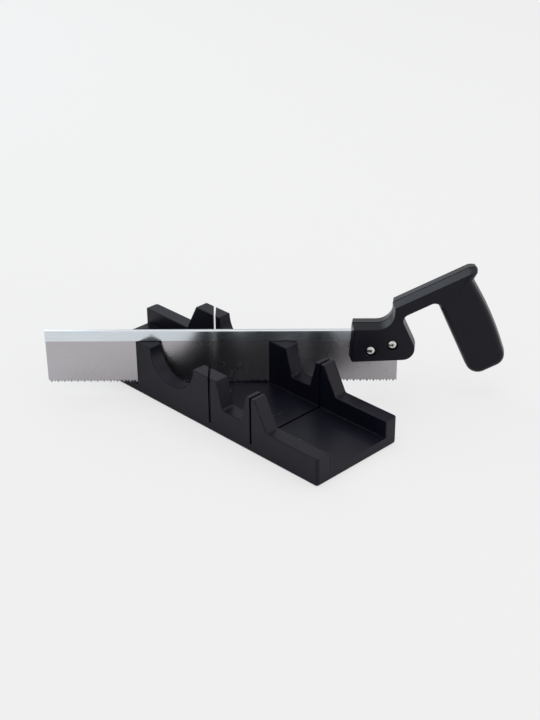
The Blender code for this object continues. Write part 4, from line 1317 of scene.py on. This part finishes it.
def cross_tool(saw, top):
    """Return the tapered cross that is pressed into a screw head."""
    arms = []
    for turn in (0, math.pi / 2):
        low = (-saw.drive_arm, -saw.drive_width / 2, top - saw.drive_depth)
        high = (saw.drive_arm, saw.drive_width / 2, top + OVERRUN)
        arm = block(low, high)
        foot = [vert for vert in arm.verts if vert.co.z < top]
        bmesh.ops.scale(arm, vec=(0.45, 0.7, 1), verts=foot)
        bmesh.ops.rotate(arm, matrix=Matrix.Rotation(turn, 3, 'Z'), verts=arm.verts)
        arms.append(arm)
    return as_tool(carved(arms[0], [as_tool(arms[1])], 'UNION'))


def thread(saw, low, high):
    """Return the screw's thread, a ridge spun up in a helix between two heights."""
    core = saw.shank_radius - saw.thread_depth
    turns = (high - low - saw.thread_pitch) / saw.thread_pitch
    mesh_builder = bmesh.new()
    half = saw.thread_pitch * 0.4
    places = [(core * 0.97, -half), (saw.shank_radius, 0), (core * 0.97, half)]
    verts = [mesh_builder.verts.new((x, 0, low + half + z)) for x, z in places]
    ridge = mesh_builder.faces.new(verts)
    bmesh.ops.spin(
        mesh_builder, geom=[ridge], cent=(0, 0, 0), axis=(0, 0, 1), angle=math.tau * turns,
        dvec=(0, 0, saw.thread_pitch / THREAD_STEPS), steps=round(THREAD_STEPS * turns),
    )
    bmesh.ops.recalc_face_normals(mesh_builder, faces=mesh_builder.faces)
    return mesh_builder


def screw_profile(saw, head_base, tip):
    """Return the turned outline of a pan-headed screw, from its tip to its crown."""
    core = saw.shank_radius - saw.thread_depth
    end = tip + saw.thread_length
    crown = saw.head_height - saw.head_rim
    edge = saw.strip_edge
    profile = [
        (0, tip), (core - edge * 2, tip), (core, tip + edge * 2), (core, end),
        (saw.shank_radius, end + saw.thread_depth), (saw.shank_radius, head_base),
        (saw.head_radius - edge, head_base), (saw.head_radius, head_base + edge),
    ]
    for step in range(CROWN_STEPS):
        turn = math.pi / 2 * step / CROWN_STEPS
        rise = head_base + saw.head_rim + crown * math.sin(turn)
        profile.append((saw.head_radius * math.cos(turn), rise))
    return profile + [(0, head_base + saw.head_height)]


def make_screws(scene):
    """Model both screws with their cross recess and thread."""
    saw = scene.mitre_saw
    sizes = scene.mitre_handle
    half = sizes.thickness / 2
    head_base = half - sizes.counterbore_depth + saw.fit_gap
    tip = -half + saw.tip_inset
    material = bpy.data.materials.get("bright_zinc") or zinc_material(scene.mitre_finish)
    for index, (along, height) in enumerate(screw_places(scene), start=1):
        top = head_base + saw.head_height
        blank = lathe(screw_profile(saw, head_base, tip), HEAD_STEPS)
        mesh_builder = carved(blank, [cross_tool(saw, top)])
        rims = [
            edge for edge in mesh_builder.edges
            if is_crisp(edge, DRIVE_ANGLE)
            and both_ends(edge, lambda point: point.z > head_base + saw.head_rim)
        ]
        soften(mesh_builder, rims, saw.strip_edge / 2, segments=2)
        turned = Matrix.Rotation(math.radians(65 - 25 * index), 4, 'Z')
        ridge = thread(saw, tip, tip + saw.thread_length)
        spare = bpy.data.meshes.new("thread")
        ridge.to_mesh(spare)
        ridge.free()
        mesh_builder.from_mesh(spare)
        bpy.data.meshes.remove(spare)
        place = SAW_PLACE @ across_blade(along, height) @ turned
        bmesh.ops.transform(mesh_builder, matrix=place, verts=mesh_builder.verts)
        note_edges(mesh_builder, strip=0.00025)
        # Mark the cross recess for its painted shade.
        paint_recess_shade(mesh_builder, place.inverted(), saw, head_base)
        finish_piece(
            f"pan_head_screw_{index}", mesh_builder, material, "saw",
            [f"handle_screw_{index}"],
        )


def make_nuts(scene):
    """Model both nuts: a hexagon kept within a chamfered barrel, with a countersunk bore."""
    saw = scene.mitre_saw
    sizes = scene.mitre_handle
    half = sizes.thickness / 2
    low = half - sizes.pocket_depth + saw.fit_gap
    high = low + saw.nut_height
    corner = saw.nut_flats / math.sqrt(3)
    flat = saw.nut_flats / 2 - saw.fit_gap
    chamfer = saw.nut_chamfer
    barrel = [
        (0, low), (flat, low), (corner + chamfer, low + chamfer * 2),
        (corner + chamfer, high - chamfer * 2), (flat, high), (0, high),
    ]
    bore = saw.shank_radius + saw.fit_gap / 2
    lead = bore + chamfer
    throat = [
        (0, low - OVERRUN), (lead + OVERRUN, low - OVERRUN), (bore, low + chamfer),
        (bore, high - chamfer), (lead + OVERRUN, high + OVERRUN), (0, high + OVERRUN),
    ]
    material = bpy.data.materials.get("bright_zinc") or zinc_material(scene.mitre_finish)
    for index, (along, height) in enumerate(screw_places(scene), start=1):
        turned = as_tool(lathe(barrel, NUT_STEPS))
        mesh_builder = carved(drum(corner, low, high, segments=6), [turned], 'INTERSECT')
        mesh_builder = carved(mesh_builder, [as_tool(lathe(throat, NUT_STEPS))])
        away = Matrix.Rotation(math.pi, 4, 'X')
        place = SAW_PLACE @ across_blade(along, height) @ away
        bmesh.ops.transform(mesh_builder, matrix=place, verts=mesh_builder.verts)
        note_edges(mesh_builder)
        finish_piece(
            f"hexagon_nut_{index}", mesh_builder, material, "saw",
            [f"handle_nut_{index}"],
        )


# Stage


def make_floor(studio):
    """Add the pale floor, which keeps the object's shadow."""
    mesh_builder = bmesh.new()
    bmesh.ops.create_circle(
        mesh_builder, cap_ends=True, segments=FLOOR_SEGMENTS, radius=studio.floor_radius,
        matrix=Matrix.Translation((0, 0, -ON_PLANE)),
    )
    mesh = bpy.data.meshes.new("studio_floor")
    mesh_builder.to_mesh(mesh)
    mesh_builder.free()
    floor = bpy.data.objects.new("studio_floor", mesh)
    bpy.context.scene.collection.objects.link(floor)
    material, bench, shader, place = new_material("pale_floor")
    patches = bench.noise(place, scale=5.0, detail=2.0)
    faint = bench.span(patches, low=0.3, high=0.7, bottom=0.0, top=0.3)
    pale = tuple(studio.floor_colour)
    tinted = tuple(value * FLOOR_TINT_SHARE for value in pale)
    bench.feed(shader.inputs["Base Color"], bench.mix(faint, pale, tinted))
    shader.inputs["Roughness"].default_value = 1.0
    shader.inputs["Specular IOR Level"].default_value = 0.0
    even = bench.add('ShaderNodeEmission')
    even.inputs["Color"].default_value = (*studio.backdrop_colour, 1.0)
    path = bench.add('ShaderNodeLightPath').outputs
    mixed = bench.add('ShaderNodeMixShader')
    away = bench.add('ShaderNodeVectorMath', operation='LENGTH')
    bench.feed(away.inputs[0], place)
    far = bench.span(
        away.outputs["Value"], low=EVEN_FROM, high=EVEN_TO, bottom=studio.evenness, top=1.0,
    )
    bench.feed(mixed.inputs[0], bench.maths('MULTIPLY', path["Is Camera Ray"], far))
    bench.feed(mixed.inputs[1], shader.outputs[0])
    bench.feed(mixed.inputs[2], even.outputs[0])
    bench.feed(material.node_tree.nodes["Material Output"].inputs["Surface"], mixed.outputs[0])
    mesh.materials.append(material)


def make_world(scene, studio):
    """Light the room evenly, and show the camera a pale backdrop instead of that light."""
    world = bpy.data.worlds.new("studio")
    scene.world = world
    world.use_nodes = True
    bench = Bench(world.node_tree)
    light = world.node_tree.nodes["Background"]
    light.inputs["Color"].default_value = (1.0, 1.0, 1.0, 1.0)
    light.inputs["Strength"].default_value = studio.room_light
    backdrop = bench.add('ShaderNodeBackground')
    backdrop.inputs["Color"].default_value = (*studio.backdrop_colour, 1.0)
    path = bench.add('ShaderNodeLightPath').outputs
    seen = bench.maths('MAXIMUM', path["Is Camera Ray"], path["Is Transmission Ray"])
    mixed = bench.add('ShaderNodeMixShader')
    bench.feed(mixed.inputs[0], seen)
    bench.feed(mixed.inputs[1], light.outputs[0])
    bench.feed(mixed.inputs[2], backdrop.outputs[0])
    bench.feed(world.node_tree.nodes["World Output"].inputs["Surface"], mixed.outputs[0])


def add_lamp(scene, studio, side):
    """Add one of the square soft lamps, which points at the object."""
    name = f"{side}_lamp"
    data = bpy.data.lights.new(name, 'AREA')
    data.size = getattr(studio, f"{side}_size")
    data.energy = getattr(studio, f"{side}_power")
    data.color = getattr(studio, f"{side}_tint")
    lamp = bpy.data.objects.new(name, data)
    lamp.location = getattr(studio, f"{side}_place")
    lamp.rotation_mode = 'QUATERNION'
    lamp.rotation_quaternion = lamp.location.to_track_quat('Z', 'Y')
    scene.collection.objects.link(lamp)


def make_camera(scene, studio):
    """Add the camera that looks as the photograph does."""
    data = bpy.data.cameras.new("photo_camera")
    data.sensor_fit = 'VERTICAL'
    data.sensor_height = studio.sensor
    data.lens = studio.lens
    camera = bpy.data.objects.new("photo_camera", data)
    scene.collection.objects.link(camera)
    level = math.cos(studio.elevation)
    back = Vector((
        math.sin(studio.azimuth) * level, -math.cos(studio.azimuth) * level,
        math.sin(studio.elevation),
    ))
    right = Vector((0, 0, 1)).cross(back).normalized()
    upright = Matrix((right, back.cross(right), back)).transposed()
    turned = upright @ Matrix.Rotation(studio.roll, 3, 'Z')
    camera.matrix_world = Matrix.Translation(studio.camera_place) @ turned.to_4x4()
    scene.camera = camera


# Operators


class MITRE_OT_trough(bpy.types.Operator):
    """Make the moulded trough with its posts, saw cuts and cored underside"""

    bl_idname = "mitre.trough"
    bl_label = "Trough"

    def execute(self, context):
        make_trough(context.scene)
        return {'FINISHED'}


class MITRE_OT_blade(bpy.types.Operator):
    """Give the toothed blade its brushed steel"""

    bl_idname = "mitre.blade"
    bl_label = "Blade"

    def execute(self, context):
        blade = frame["nodes"]["saw_blade"]
        steel = blade_material(context.scene.mitre_finish, context.scene.mitre_saw.tooth_depth)
        for slot in blade.material_slots:
            slot.material = steel
        return {'FINISHED'}


class MITRE_OT_back(bpy.types.Operator):
    """Make the steel strip that is folded over the blade"""

    bl_idname = "mitre.back"
    bl_label = "Folded back"

    def execute(self, context):
        make_back(context.scene)
        return {'FINISHED'}


class MITRE_OT_handle(bpy.types.Operator):
    """Make both halves of the moulded handle"""

    bl_idname = "mitre.handle"
    bl_label = "Handle"

    def execute(self, context):
        make_half(context.scene, "handle_shell_front", -1, "handle_front_half")
        make_half(context.scene, "handle_shell_rear", 1, "handle_rear_half")
        return {'FINISHED'}


class MITRE_OT_screws(bpy.types.Operator):
    """Make the two screws"""

    bl_idname = "mitre.screws"
    bl_label = "Screws"

    def execute(self, context):
        make_screws(context.scene)
        return {'FINISHED'}


class MITRE_OT_nuts(bpy.types.Operator):
    """Make the two nuts"""

    bl_idname = "mitre.nuts"
    bl_label = "Nuts"

    def execute(self, context):
        make_nuts(context.scene)
        return {'FINISHED'}


class MITRE_OT_stage(bpy.types.Operator):
    """Set up the pale floor, soft lamps and camera"""

    bl_idname = "mitre.stage"
    bl_label = "Stage"

    def execute(self, context):
        scene = context.scene
        studio = scene.mitre_studio
        make_floor(studio)
        make_world(scene, studio)
        for side in ("ceiling", "left", "right"):
            add_lamp(scene, studio, side)
        make_camera(scene, studio)
        scene.view_settings.view_transform = 'Standard'
        return {'FINISHED'}


class MITRE_PT_sidebar(bpy.types.Panel):
    """Lists the pieces in the order they are made"""

    bl_label = "Mitre Box"
    bl_idname = "MITRE_PT_sidebar"
    bl_space_type = 'VIEW_3D'
    bl_region_type = 'UI'
    bl_category = "Mitre Box"

    def draw(self, context):
        for operator in OPERATORS:
            self.layout.operator(operator.bl_idname)
        for group in ("mitre_trough", "mitre_saw", "mitre_handle", "mitre_finish", "mitre_studio"):
            column = self.layout.column(heading=group)
            settings = getattr(context.scene, group)
            for key in settings.bl_rna.properties.keys():
                if key not in {"rna_type", "name"}:
                    column.prop(settings, key)


SETTINGS = {
    "mitre_trough": TroughSizes,
    "mitre_saw": SawSizes,
    "mitre_handle": HandleSizes,
    "mitre_finish": FinishSettings,
    "mitre_studio": StudioSettings,
}
OPERATORS = (
    MITRE_OT_trough, MITRE_OT_blade, MITRE_OT_back, MITRE_OT_handle, MITRE_OT_screws,
    MITRE_OT_nuts, MITRE_OT_stage,
)


def register():
    """Register the settings, operators and panel."""
    for name, group in SETTINGS.items():
        bpy.utils.register_class(group)
        setattr(bpy.types.Scene, name, PointerProperty(type=group))
    for item in (*OPERATORS, MITRE_PT_sidebar):
        bpy.utils.register_class(item)


def unregister():
    """Take the settings, operators and panel away again."""
    for item in (MITRE_PT_sidebar, *reversed(OPERATORS)):
        bpy.utils.unregister_class(item)
    for name, group in SETTINGS.items():
        delattr(bpy.types.Scene, name)
        bpy.utils.unregister_class(group)


def main():
    """Make every piece and the stage."""
    register()
    bpy.ops.mitre.trough()
    bpy.ops.mitre.blade()
    bpy.ops.mitre.back()
    bpy.ops.mitre.handle()
    bpy.ops.mitre.screws()
    bpy.ops.mitre.nuts()
    bpy.ops.mitre.stage()


if __name__ == "__main__":
    main()
